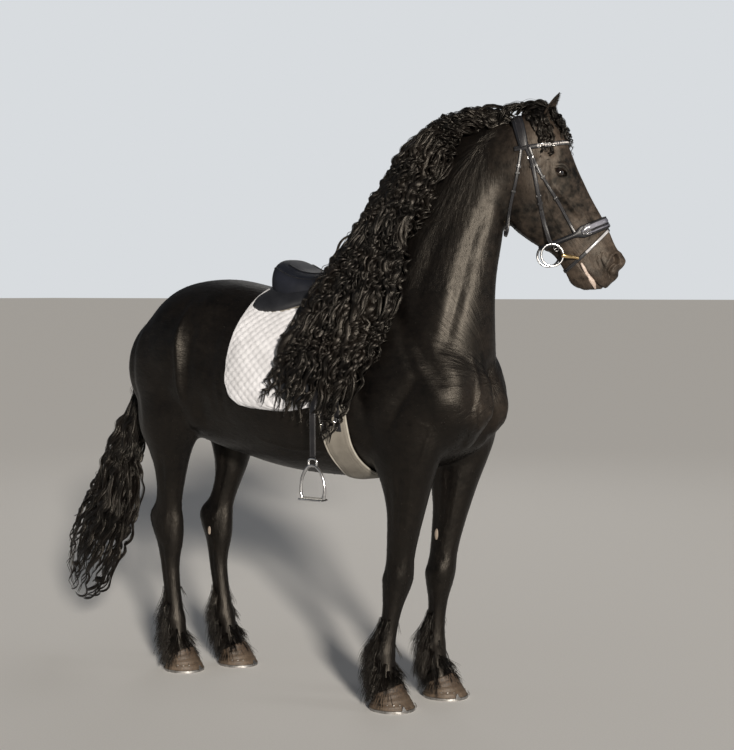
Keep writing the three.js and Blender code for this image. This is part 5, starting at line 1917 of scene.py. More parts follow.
@dataclass(frozen=True)
class Ear:
    """One ear: a curled cup with hair along its edges and inside.

    Attributes:
        side: -1 on the right, 1 on the left.
        rows: Share of its height, depth, width and bow, in millimetres.
        hollow: Share of its height and depth of the cup.
        hairs: Number of hairs along its edges and inside.
        seed: Seed of their chances.
    """

    side: int
    rows: tuple[tuple[float, ...], ...] = (
        (-0.34, 20, 24, 0), (-0.2, 20, 26, 0), (0, 19, 27, 0), (0.22, 18, 29, 2), (0.45, 16, 26, 3),
        (0.68, 12, 20, 3), (0.86, 7, 11, 1), (1, 2.2, 2.6, -2),
    )
    hollow: tuple[tuple[float, float], ...] = (
        (-0.1, 0), (0.12, 0.55), (0.3, 1.25), (0.6, 1.3), (0.85, 1.0), (1, 0.3)
    )
    hairs: int = 420
    seed: int = 11

    def build(self, name: str, skin: Skin) -> None:
        """Makes the ear and its hair.

        Args:
            name: Which ear it is.
            skin: The skin that it stands on.
        """
        base, tip = in_head(101, 2204, self.side * 54), in_head(148, 2300, self.side * 64)
        face = unit(AHEAD * 0.86 + ASIDE * 0.5 * self.side)
        across = unit(np.cross(face, UP))
        m, k = 40, 34
        table = follow(self.rows, k)
        ang = 2 * np.pi * np.arange(m) / m
        cup = read_off(self.hollow, table[:, 0])[:, :1]
        cos = np.cos(ang)[None]
        front = np.where(cos > 0, cos * (1 - cup * step(0.0, 0.45, cos)), cos)
        middle = base + (tip - base) * table[:, :1] + across * table[:, 3:4]
        grid = (
            middle[:, None] + face * (front * table[:, 1:2])[..., None]
            + across * (np.sin(ang)[None] * table[:, 2:3])[..., None]
        )
        verts = np.vstack([grid.reshape(-1, 3), middle[:1], tip[None] + UP * 1.5])
        j = np.arange(m)
        nxt = (j + 1) % m
        faces = [
            np.stack([r * m + a, r * m + b, (r + 1) * m + c], 1) if lift
            else np.stack([r * m + a, (r + 1) * m + b, (r + 1) * m + c], 1)
            for r in range(k - 1)
            for a, b, c, lift in ((j, nxt, nxt, True), (j, nxt, j, False))
        ]
        faces += [
            np.stack([nxt, j, j * 0 + k * m], 1),
            np.stack([(k - 1) * m + j, (k - 1) * m + nxt, j * 0 + k * m + 1], 1),
        ]
        tri = np.concatenate(faces)
        root = skin.place_on_map(row(base[None]))[0]
        spread = np.stack([np.arctan2(np.sin(ang), np.cos(ang)) * 0.02, ang * 0], 1)
        share = np.concatenate(
            [
                np.stack([np.tile(spread[:, 0], k), np.repeat(np.linspace(0, 0.09, k), m)], 1),
                [[0, 0], [0, 0.09]],
            ]
        )
        bake = root + 0.35 * share[tri.reshape(-1)]
        obj = mesh_object(
            f"ear_{name}_skin", row(verts), tri, {"OFBake": bake, "Lie": share[tri.reshape(-1)]}
        )
        face_out(obj)
        shown(obj, COAT, "coat", "ear_" + name)
        rng = np.random.default_rng(self.seed)
        n = self.hairs
        t, a = rng.uniform(0.02, 0.93, n), rng.uniform(-1.5, 1.5, n)
        a = np.where(rng.uniform(0, 1, n) < 0.5, np.sign(a) * rng.uniform(1.25, 1.75, n), a)
        size = read_off(self.rows, t)
        hole = read_off(self.hollow, t)[:, 0]
        cosa = np.cos(a)
        start = (
            base + (tip - base) * t[:, None] + across * size[:, 2:3]
            + face * (np.where(cosa > 0, cosa * (1 - hole * step(0, 0.45, cosa)), cosa) * size[:, 0])[:, None]
            + across * (np.sin(a) * size[:, 1])[:, None]
        )
        way = unit(
            unit(tip - base) * 0.85 + face * 0.35 + across * (0.25 * np.sin(a))[:, None]
            + rng.normal(0, 0.12, (n, 3))
        )
        long = rng.uniform(9, 19, n) * (1 - 0.45 * t)
        s = np.array([0.0, 0.35, 0.7, 1.0])
        p = (
            start[:, None] + (s[None] * long[:, None])[..., None] * way[:, None]
            + (s[None] ** 2 * 2.5)[..., None] * face
        )
        half = rng.uniform(0.5, 0.9, (n, 1)) * np.array([1, 1, 0.7, 0])
        made = weave(p, half, np.broadcast_to(across, p.shape), 0.5, 3, np.repeat(root[None], n, 0), rng)
        shown(hair_piece(f"ear_{name}_hair", [made]), HAIR, "hair", "ear_" + name)


# Shells, straps and small fittings


def placed(obj: bpy.types.Object, at: Array, x: Array, y: Array, z: Array) -> bpy.types.Object:
    """Moves a piece modelled in millimetres about the origin to its place on the horse.

    Args:
        obj: The piece.
        at: Where its origin goes, in the horse's frame.
        x: Where its X axis points.
        y: Where its Y axis points.
        z: Where its Z axis points.

    Returns:
        The same piece.
    """
    settle(obj)
    co = points_of(obj)
    put_points(obj, row(np.asarray(at, float) + co[:, :1] * x + co[:, 1:2] * y + co[:, 2:] * z))
    if np.dot(np.cross(x, y), z) < 0:
        obj.data.flip_normals()
    return obj


def sweep(
    name: str, rings: Array, closed: bool, uv: Array | None = None, smooth: bool = True,
    map_name: str = "Strap",
) -> bpy.types.Object:
    """Skins rings of points into one closed body.

    Args:
        name: Its name.
        rings: Rings of points in the horse's frame, (ring, point, 3).
        closed: Whether the last ring meets the first; otherwise both ends are capped.
        uv: Map coordinates for each point of each ring and one more, (ring, point + 1, 2).
        smooth: Whether it is shaded smooth.
        map_name: Name of its map.

    Returns:
        The object.
    """
    r, m, _ = rings.shape
    j = np.arange(m)
    nxt = (j + 1) % m
    tris, coords = [], []
    for a in range(r if closed else r - 1):
        b = (a + 1) % r
        q = np.stack([a * m + j, a * m + nxt, b * m + nxt, b * m + j], 1)
        tris += [q[:, [0, 1, 2]], q[:, [0, 2, 3]]]
        if uv is not None:
            beyond = uv[a] + (0.0, uv[1, 0, 1] - uv[0, 0, 1]) if b == 0 else uv[b]
            c = np.stack([uv[a, j], uv[a, j + 1], beyond[j + 1], beyond[j]], 1)
            coords += [c[:, [0, 1, 2]], c[:, [0, 2, 3]]]
    verts = rings.reshape(-1, 3)
    if not closed:
        verts = np.vstack([verts, rings[0].mean(0), rings[-1].mean(0)])
        tris += [
            np.stack([nxt, j, j * 0 + r * m], 1),
            np.stack([(r - 1) * m + j, (r - 1) * m + nxt, j * 0 + r * m + 1], 1),
        ]
        if uv is not None:
            coords += [np.repeat(uv[0, j][:, None], 3, 1), np.repeat(uv[-1, j][:, None], 3, 1)]
    tri = np.concatenate(tris)
    maps = None if uv is None else {map_name: np.concatenate(coords).reshape(-1, 2)}
    obj = mesh_object(name, row(verts), tri, maps, smooth)
    return face_out(obj)


def tube(
    name: str, line: Array, radius: float | Array, sides: int = 10, closed: bool = False, flat: float = 1.0,
    wide: Array | None = None,
) -> bpy.types.Object:
    """Makes a round bar along a line.

    Args:
        name: Its name.
        line: Points in the horse's frame.
        radius: Its radius in millimetres, one for all or one for each point.
        sides: Number of sides.
        closed: Whether the line is a loop.
        flat: Thickness over width.
        wide: The way it is wide.

    Returns:
        The object.
    """
    line = np.asarray(line, float)
    if closed:
        t = unit(np.roll(line, -1, 0) - np.roll(line, 1, 0))
    else:
        t = unit(np.gradient(line, axis=0))
    ref = np.asarray(wide if wide is not None else (0.31, 0.42, 0.85), float)
    b = unit(np.cross(t, ref))
    a = np.cross(b, t)
    ang = 2 * np.pi * np.arange(sides) / sides
    rad = np.broadcast_to(np.asarray(radius, float), (len(line),))[:, None, None]
    rings = (
        line[:, None]
        + rad * (np.cos(ang)[None, :, None] * a[:, None] + flat * np.sin(ang)[None, :, None] * b[:, None])
    )
    return sweep(name, rings, closed)


def band(
    name: str, line: Array, out: Array, width: float | Array, thick: float | Array, closed: bool = False,
    crown: float = 0.12,
) -> bpy.types.Object:
    """Makes a strap with rolled edges along a line, lying on it.

    Args:
        name: Its name.
        line: Points of its underside's middle in the horse's frame.
        out: The way out of the body at each point.
        width: Its width in millimetres.
        thick: Its thickness in millimetres.
        closed: Whether it is a loop.
        crown: How much thicker its middle is.

    Returns:
        The object, with a map in metres across and along.
    """
    k = len(line)
    t = unit(np.roll(line, -1, 0) - np.roll(line, 1, 0)) if closed else unit(np.gradient(line, axis=0))
    across = unit(np.cross(t, out))
    up = np.cross(across, t)
    w = np.broadcast_to(np.asarray(width, float), (k,))[:, None] / 2
    h = np.broadcast_to(np.asarray(thick, float), (k,))[:, None]
    r = np.minimum(h * 0.5, w * 0.5)
    c = 1 + crown
    u = np.concatenate(
        [
            -w + r, 0 * w, w - r, w - 0.3 * r, w, w - 0.3 * r, w - r, 0.5 * w, 0 * w, -0.5 * w, -w + r,
            -w + 0.3 * r, -w, -w + 0.3 * r,
        ],
        1,
    )
    v = np.concatenate(
        [
            0 * h, 0 * h, 0 * h, 0.15 * h, 0.5 * h, 0.85 * h, h, (1 + 0.75 * crown) * h, c * h,
            (1 + 0.75 * crown) * h, h, 0.85 * h, 0.5 * h, 0.15 * h,
        ],
        1,
    )
    rings = line[:, None] + u[..., None] * across[:, None] + v[..., None] * up[:, None]
    s = lengths(line)
    uv = np.stack(
        [np.concatenate([u, u[:, :1]], 1), np.broadcast_to(s[:, None], (k, u.shape[1] + 1))], -1
    ) / 1000
    return sweep(name, rings, closed, uv)


def shell(name: str, inner: Array, outer: Array, uv: Array, map_name: str = "Weave") -> bpy.types.Object:
    """Closes two grids of points into one thick sheet.

    Args:
        name: Its name.
        inner: Grid of points next to the body, (row, column, 3), in the horse's frame.
        outer: Grid of points facing out.
        uv: Map coordinates of the grid, in metres.
        map_name: Name of its map.

    Returns:
        The object.
    """
    r, c, _ = outer.shape
    i, j = np.meshgrid(np.arange(r - 1), np.arange(c - 1), indexing="ij")
    a = (i * c + j).ravel()
    quads = np.stack([a, a + 1, a + c + 1, a + c], 1)
    lower = quads[:, ::-1] + r * c
    rim = np.concatenate(
        [
            np.arange(c - 1), np.arange(r - 1) * c + c - 1, (r - 1) * c + np.arange(c - 1, 0, -1),
            np.arange(r - 1, 0, -1) * c,
        ]
    )
    nxt = np.roll(rim, -1)
    sides = np.stack([nxt, rim, rim + r * c, nxt + r * c], 1)
    faces = np.concatenate([quads, lower, sides])
    flat = np.concatenate([uv.reshape(-1, 2)] * 2)
    obj = mesh_object(
        name, row(np.concatenate([outer.reshape(-1, 3), inner.reshape(-1, 3)])), faces,
        {map_name: flat[faces.reshape(-1)]},
    )
    return face_out(obj)


def even(values: Array, times: int = 2, closed: bool = False) -> Array:
    """Smooths rows of numbers along their first axis."""
    v = np.asarray(values, float)
    for _ in range(times):
        if closed:
            v = 0.25 * np.roll(v, 1, 0) + 0.5 * v + 0.25 * np.roll(v, -1, 0)
        else:
            w = v.copy()
            w[1:-1] = 0.25 * v[:-2] + 0.5 * v[1:-1] + 0.25 * v[2:]
            v = w
    return v


def even_grid(grid: Array, rows: int, cols: int, again: int = 0) -> Array:
    """Smooths a grid of points down its rows, across them, and down them once more."""
    return even(np.swapaxes(even(np.swapaxes(even(grid, rows), 0, 1), cols), 0, 1), again)


def grid_normals(grid: Array, towards: Array | tuple[float, float, float]) -> Array:
    """Gives the normals of a grid of points, on the side that a direction shows."""
    n = unit(np.cross(np.gradient(grid, axis=1), np.gradient(grid, axis=0)))
    return n * np.sign((n * towards).sum(-1, keepdims=True))


def rounded_box(size: tuple[float, float, float], edge: float) -> bpy.types.Object:
    """Makes a block with rounded edges about the origin, sized in millimetres."""
    obj = primitive("cube", size=1)
    obj.scale = size
    settle(obj)
    return finish_with(obj, "BEVEL", width=edge, segments=3, limit_method="ANGLE")


def buckle_frame(wide: float, tall: float, wire: float = 1.7) -> bpy.types.Object:
    """Makes a buckle's frame with its tongue, lying in the XY plane about the origin, in millimetres."""
    thin = 0.14
    sizes = {"major_segments": 4, "minor_segments": 10, "major_radius": 1.0, "minor_radius": thin}
    frame_ring = primitive("torus", rotation=(0, 0, math.pi / 4), **sizes)
    co = points_of(frame_ring)
    ring = co.copy()
    ring[:, 0] = np.sign(co[:, 0]) * (np.abs(co[:, 0]) / math.sqrt(0.5) * wide / 2)
    ring[:, 1] = np.sign(co[:, 1]) * (np.abs(co[:, 1]) / math.sqrt(0.5) * tall / 2)
    ring[:, 2] = co[:, 2] / thin * wire
    put_points(frame_ring, ring)
    finish_with(frame_ring, "SUBSURF", levels=1, render_levels=1)
    tongue = rounded_box((2.2, tall * 0.95, 2.2), 0.8)
    put_points(tongue, points_of(tongue) + (0, -tall * 0.04, wire * 1.1))
    return join([frame_ring, tongue], "buckle")


@dataclass
class HeadLine:
    """A line on the head that a strap follows.

    Attributes:
        skin: The skin.
        points: Its points in the horse's frame.
        out: The way out at each point.
    """

    skin: Skin
    points: Array = field(default_factory=lambda: np.zeros((0, 3)))
    out: Array = field(default_factory=lambda: np.zeros((0, 3)))

    def down(
        self, line: Rows, side: int, count: int = 40, fallback: float = 58, lift: float = 0.6
    ) -> "HeadLine":
        """Follows a line of forward and height down one side of the head.

        Args:
            line: Pairs in the head's plane.
            side: -1 on the right, 1 on the left.
            count: Number of points.
            fallback: Distance from the head's plane where the line leaves the head.
            lift: Gap to the skin.

        Returns:
            The line itself.
        """
        hz = follow([(h, z, 0) for h, z in line], count)[:, :2]
        pts, outs = [], []
        for h, z in hz:
            got = self.skin.hit(in_head(h, z, side * 300), -side * ASIDE)
            if got is None or abs((got[0] - POLL) @ ASIDE) < 12:
                pts.append(in_head(h, z, side * fallback))
                outs.append(side * ASIDE)
            else:
                pts.append(got[0])
                outs.append(got[1])
        self.out = unit(even(outs, 4))
        self.points = even(pts, 2) + self.out * lift
        return self

    def round(
        self, middle: tuple[float, float], front: Array, angles: tuple[float, float], count: int = 90,
        lift: float = 0.6,
    ) -> "HeadLine":
        """Follows a plane round the head.

        Args:
            middle: Forward and height of the plane's middle.
            front: The way in the plane that angle 0 looks.
            angles: First and last angle in degrees; a full turn makes a loop.
            count: Number of points.
            lift: Gap to the skin.

        Returns:
            The line itself.
        """
        loop = angles[1] - angles[0] >= 360
        centre = in_head(*middle, 0)
        pts, outs = [], []
        for a in np.radians(np.linspace(*angles, count, endpoint=not loop)):
            way = math.cos(a) * front + math.sin(a) * ASIDE
            got = self.skin.hit(centre + 320 * way, -way)
            pts.append(centre + 60 * way if got is None else got[0])
            outs.append(way if got is None else unit(got[1] + 0.6 * way))
        self.out = unit(even(outs, 4, loop))
        self.points = even(pts, 3, loop) + self.out * lift
        return self

    def at(self, share: float) -> tuple[Array, Array, Array, Array]:
        """Gives a place on the line with the ways across, along and out.

        Args:
            share: How far along it is, from 0 to 1.

        Returns:
            The point and three directions.
        """
        k = int(round(share * (len(self.points) - 1)))
        a, b = max(k - 1, 0), min(k + 1, len(self.points) - 1)
        along = unit(self.points[b] - self.points[a])
        across = unit(np.cross(along, self.out[k]))
        return self.points[k], across, along, np.cross(across, along)


def strap_leather(width: float, name: str = "bridle_leather") -> Finish:
    """Gives black strap leather with its seams set for a width in millimetres."""
    return Finish(
        f"{name}_{int(width)}", Pattern.STRAP, (0.0065, 0.0065, 0.008), (0.016, 0.015, 0.0165), (0.26, 0.42),
        0.00035, width=width / 2000, thread=(0.035, 0.035, 0.04), gloss=0.15,
    )


@dataclass
class Bridle:
    """Headpiece, browband, cheekpieces, noseband with its flash strap, throatlatch and snaffle.

    Attributes:
        skin: The skin it lies on.
        cheek: Line of a cheekpiece in the head's plane.
        hanger: Line of the noseband's strap.
        throat: Line of the throatlatch.
        cheek_width: Width of a cheekpiece in millimetres.
        slim_width: Width of the noseband's straps and of the throatlatch.
        flash_width: Width of the flash strap.
        brow_width: Width of the browband.
        bead: Radius of a crystal, and the distance from one to the next.
        ring: Radius of a bit ring, and of its wire.
    """

    skin: Skin
    cheek: Rows = ((22, 2112), (24, 2092), (42, 2040), (69, 1906), (104, 1762), (117, 1738))
    hanger: Rows = ((30, 2098), (40, 2072), (69, 2004), (132, 1905), (180, 1824), (206, 1778))
    throat: Rows = ((6, 2100), (2, 2070), (-14, 1975), (-30, 1895), (-40, 1822))
    cheek_width: float = 16
    slim_width: float = 12
    flash_width: float = 14
    brow_width: float = 18
    bead: tuple[float, float] = (3.7, 9.4)
    ring: tuple[float, float] = (41, 4.3)

    def build(self) -> None:
        """Makes and dresses every part of the bridle."""
        self.crown()
        self.brow()
        self.nose()
        for name, side in SIDES.items():
            self.sides(name, side)
            self.snaffle(name, side)
            self.throatlatch(name, side)
            self.lip(name, side)

    def crown(self) -> None:
        """Makes the padded headpiece over the poll with the straps sewn on it."""
        top = unit(UP * 0.98 - AHEAD * 0.2)
        line = HeadLine(self.skin).round((12, 2105), top, (-96, 96), 70)
        edge = np.abs(np.linspace(-1, 1, 70))
        pad = band("headpiece_padding", line.points, line.out, 44 - 10 * edge**3, 9, crown=0.35)
        shown(pad, PADDING, "leather", "headpiece")
        over = band("headpiece_strap", line.points + 9.5 * line.out, line.out, 27 - 5 * edge**3, 3)
        shown(over, strap_leather(25), "leather", "headpiece")

    def brow(self) -> None:
        """Makes the browband with its row of crystals."""
        front = unit(AHEAD + UP * 0.13)
        line = HeadLine(self.skin).round((60, 2099), front, (-136, 136), 110, lift=1.2)
        strap = band("browband_strap", line.points, line.out, self.brow_width, 5, crown=0.3)
        shown(strap, strap_leather(self.brow_width), "leather", "browband")
        picks = np.arange(18, 92)
        s = lengths(line.points[picks])
        radius, pitch = self.bead
        at = np.arange(6, s[-1] - 6, pitch)
        seed = primitive("ico_sphere", subdivisions=2, radius=1)
        ball, faces = points_of(seed), np.array([tuple(p.vertices) for p in seed.data.polygons])
        bpy.data.objects.remove(seed)
        verts, tris = [], []
        for k, d in enumerate(at):
            c = np.array([np.interp(d, s, line.points[picks, i]) for i in range(3)])
            n = unit(np.array([np.interp(d, s, line.out[picks, i]) for i in range(3)]))
            verts.append(c + n * 6.2 + ball * radius)
            tris.append(faces + k * len(ball))
        beads = mesh_object(
            "browband_crystals", row(np.concatenate(verts)), np.concatenate(tris), smooth=False
        )
        shown(beads, CRYSTAL, "leather", "browband")
        rails = []
        for shift in (-5.6, 5.6):
            across = unit(np.cross(np.gradient(line.points, axis=0), line.out))
            rails.append(tube("rail", (line.points + across * shift + line.out * 5.4)[picks], 0.8, 6))
        shown(join(rails, "browband_settings"), STEEL, "leather", "browband")

    def nose(self) -> None:
        """Makes the padded noseband, wide in front, and the flash strap that crosses below it."""
        front, back = in_head(352, 1829, 0), in_head(155, 1752, 0)
        way = unit(front - back)
        line = HeadLine(self.skin).round((250, 1789), way, (0, 360), 120)
        turn = np.abs((np.linspace(0, 360, 120, endpoint=False) + 180) % 360 - 180)
        wide = 20 + 27 * step(134, 104, turn)
        pad = band("noseband_padding", line.points, line.out, wide, 8.5, closed=True, crown=0.3)
        shown(pad, PADDING, "leather", "noseband")
        across = unit(np.cross(np.roll(line.points, -1, 0) - np.roll(line.points, 1, 0), line.out))
        upper = across * np.sign(across @ UP)[:, None]
        keep = np.nonzero(turn < 112)[0]
        order = keep[np.argsort((np.linspace(0, 360, 120, endpoint=False)[keep] + 180) % 360)]
        taper = step(112, 86, turn[order])
        panels = []
        for shift, size in ((7.4, 17.0), (-11.6, 6.5)):
            base = (
                line.points[order] + upper[order] * (shift * (0.35 + 0.65 * taper))[:, None]
                + line.out[order] * 9.6
            )
            panels.append(band("panel", base, line.out[order], size * (0.25 + 0.75 * taper), 3.2, crown=0.5))
        shown(join(panels, "noseband_panels"), LILAC_PATENT, "leather", "noseband")
        cords = []
        for shift, thick in ((18.6, 3.4), (-4.8, 3.2), (-17.6, 3.0)):
            base = (
                line.points[order] + upper[order] * (shift * (0.35 + 0.65 * taper))[:, None]
                + line.out[order] * 10.2
            )
            cords.append(tube("cord", base, thick, 10))
        shown(join(cords, "noseband_piping"), strap_leather(self.flash_width), "leather", "noseband")
        way = unit(in_head(372, 1826, 0) - in_head(160, 1622, 0))
        flash = HeadLine(self.skin).round((262, 1720), way, (0, 360), 110, lift=1.0)
        strap = band("flash_strap_leather", flash.points, flash.out, self.flash_width, 4, closed=True)
        shown(strap, strap_leather(self.flash_width), "leather", "flash_strap")
        turn = np.linspace(0, 360, 110, endpoint=False)
        shiny = []
        for low, high in ((12, 112), (248, 348)):
            keep = np.nonzero((turn > low) & (turn < high))[0]
            shiny.append(
                band(
                    "shine", flash.points[keep] + flash.out[keep] * 4.3, flash.out[keep], 9.5, 1.6, crown=0.4
                )
            )
        shown(join(shiny, "flash_strap_panel"), SILVER_PATENT, "leather", "flash_strap")

    def fittings(
        self, line: HeadLine, width: float, buckles: Sequence[float], keepers: Sequence[float], name: str,
        node: str,
    ) -> None:
        """Sets buckles and keepers on a strap.

        Args:
            line: The strap's line.
            width: Its width.
            buckles: Where buckles sit, from 0 to 1 along it.
            keepers: Where keepers sit.
            name: Start of the pieces' names.
            node: The CAD node they stand for.
        """
        made = []
        for s in buckles:
            p, a, t, o = line.at(s)
            made.append(placed(buckle_frame(width + 6, 15), p + o * 4.6, a, t, o))
        if made:
            shown(join(made, name + "_buckle"), STEEL, "steel", node)
        loops = []
        for s in keepers:
            p, a, t, o = line.at(s)
            loops.append(placed(rounded_box((width + 5, 8, 8), 1.6), p + o * 3.2, a, t, o))
        if loops:
            shown(join(loops, name + "_keeper"), KEEPER, "leather", node)

    def sides(self, name: str, side: int) -> None:
        """Makes one cheekpiece and one strap of the noseband.

        Args:
            name: Which side.
            side: -1 on the right, 1 on the left.
        """
        cheek = HeadLine(self.skin).down(self.cheek, side, 60, fallback=BESIDE_CHEEK)
        end = in_head(120, 1738, side * BESIDE_CHEEK)
        near = step(0.72, 1.0, np.linspace(0, 1, 60))[:, None]
        cheek.points = cheek.points * (1 - near) + (cheek.points + (end - cheek.points[-1])) * near
        strap = band(f"cheekpiece_{name}_strap", cheek.points, cheek.out, self.cheek_width, 4)
        shown(strap, strap_leather(self.cheek_width), "leather", "cheekpiece_" + name)
        upper, over, billet = cheek.points[8:40], cheek.out[8:40], self.cheek_width - 3
        strap = band(f"cheekpiece_{name}_billet", upper + over * 4.4, over, billet, 3)
        shown(strap, strap_leather(billet), "leather", "cheekpiece_" + name)
        self.fittings(
            cheek, self.cheek_width, (0.16,), (0.24, 0.52, 0.60), f"cheekpiece_{name}", "cheekpiece_" + name
        )
        hang = HeadLine(self.skin).down(self.hanger, side, 50, fallback=BESIDE_CHEEK)
        hang.points += hang.out * np.interp(np.linspace(0, 1, 50), [0, 0.15, 0.9, 1], [6, 1, 0.5, 8])[:, None]
        strap = band(f"noseband_strap_{name}_strap", hang.points, hang.out, self.slim_width, 3.6)
        shown(strap, strap_leather(self.slim_width), "leather", "noseband_strap_" + name)
        self.fittings(
            hang, self.slim_width, (0.26,), (0.34, 0.60), f"noseband_strap_{name}", "noseband_strap_" + name
        )
        got = self.skin.hit(in_head(138, 1722, side * 300), -side * ASIDE)
        spot = got[0] if got else in_head(138, 1722, side * 50)
        ring = buckle_frame(26, 18, 2.0)
        placed(
            ring, spot + ASIDE * side * 12, unit(UP * 0.85 - AHEAD * 0.45), unit(AHEAD * 0.88 + UP * 0.46),
            ASIDE * side,
        )
        shown(named(ring, f"noseband_buckle_{name}"), STEEL, "steel", "noseband")

    def snaffle(self, name: str, side: int) -> None:
        """Makes one loose ring and the end of the mouthpiece.

        Args:
            name: Which side.
            side: -1 on the right, 1 on the left.
        """
        radius, wire = self.ring
        sizes = {"major_segments": 72, "minor_segments": 16, "major_radius": radius, "minor_radius": wire}
        ring = named(primitive("torus", **sizes), f"bit_{name}_ring")
        placed(ring, in_head(121, 1697, side * BESIDE_CHEEK), AHEAD, UP, ASIDE * side)
        bpy.ops.object.shade_smooth()
        shown(ring, STEEL, "steel", "bit_" + name)
        course = ((155, 1696, 66), (166, 1695, 66), (184, 1692, 62), (204, 1689, 54), (226, 1684, 43))
        line = follow([tuple(in_head(h, z, side * o)) for h, z, o in course], 24)
        size = np.interp(np.linspace(0, 1, 24), [0, 0.05, 0.3, 0.6, 1], [6.5, 8.6, 8.2, 6.6, 5.4])
        shown(tube(f"bit_{name}_mouthpiece", line, size, 16), GOLD, "steel", "bit_" + name)

    def throatlatch(self, name: str, side: int) -> None:
        """Makes one half of the throatlatch, which hangs loose under the jaw.

        Args:
            name: Which side.
            side: -1 on the right, 1 on the left.
        """
        line = HeadLine(self.skin).down(self.throat, side, 40, fallback=60, lift=2.0)
        course = ((-41, 1800, 52), (-45, 1778, 30), (-46, 1770, 0))
        under = follow([tuple(in_head(h, z, side * o)) for h, z, o in course], 16)
        pts = follow(np.vstack([line.points[:-2:4], under[3:]]), 60)
        centre = in_head(-20, 1960, 0)
        out = unit((pts - centre) * (1, 1, 0.35) + side * ASIDE * 30)
        line.points, line.out = pts, out
        strap = band(f"throatlatch_{name}_strap", pts, out, self.slim_width, 3.4)
        shown(strap, strap_leather(self.slim_width), "leather", "throatlatch_" + name)
        self.fittings(
            line, self.slim_width, (0.20,), (0.27, 0.46), f"throatlatch_{name}", "throatlatch_" + name
        )

    def lip(self, name: str, side: int) -> None:
        """Lays a pale band along the edge of the lower lip.

        Args:
            name: Which side.
            side: -1 on the right, 1 on the left.
        """
        edge = ((231, 1668), (248, 1641), (268, 1610), (283, 1584), (288, 1572))
        line = HeadLine(self.skin).down(edge, side, 30, fallback=40, lift=-1.0)
        size = 11.0 * np.sin(np.pi * np.linspace(0.04, 0.92, 30)) ** 0.5
        shown(tube(f"lip_edge_{name}", even(line.points, 6), size, 12, flat=0.55), PALE_LIP_EDGE, "coat", "head")


# Saddle, pad, girth and stirrups


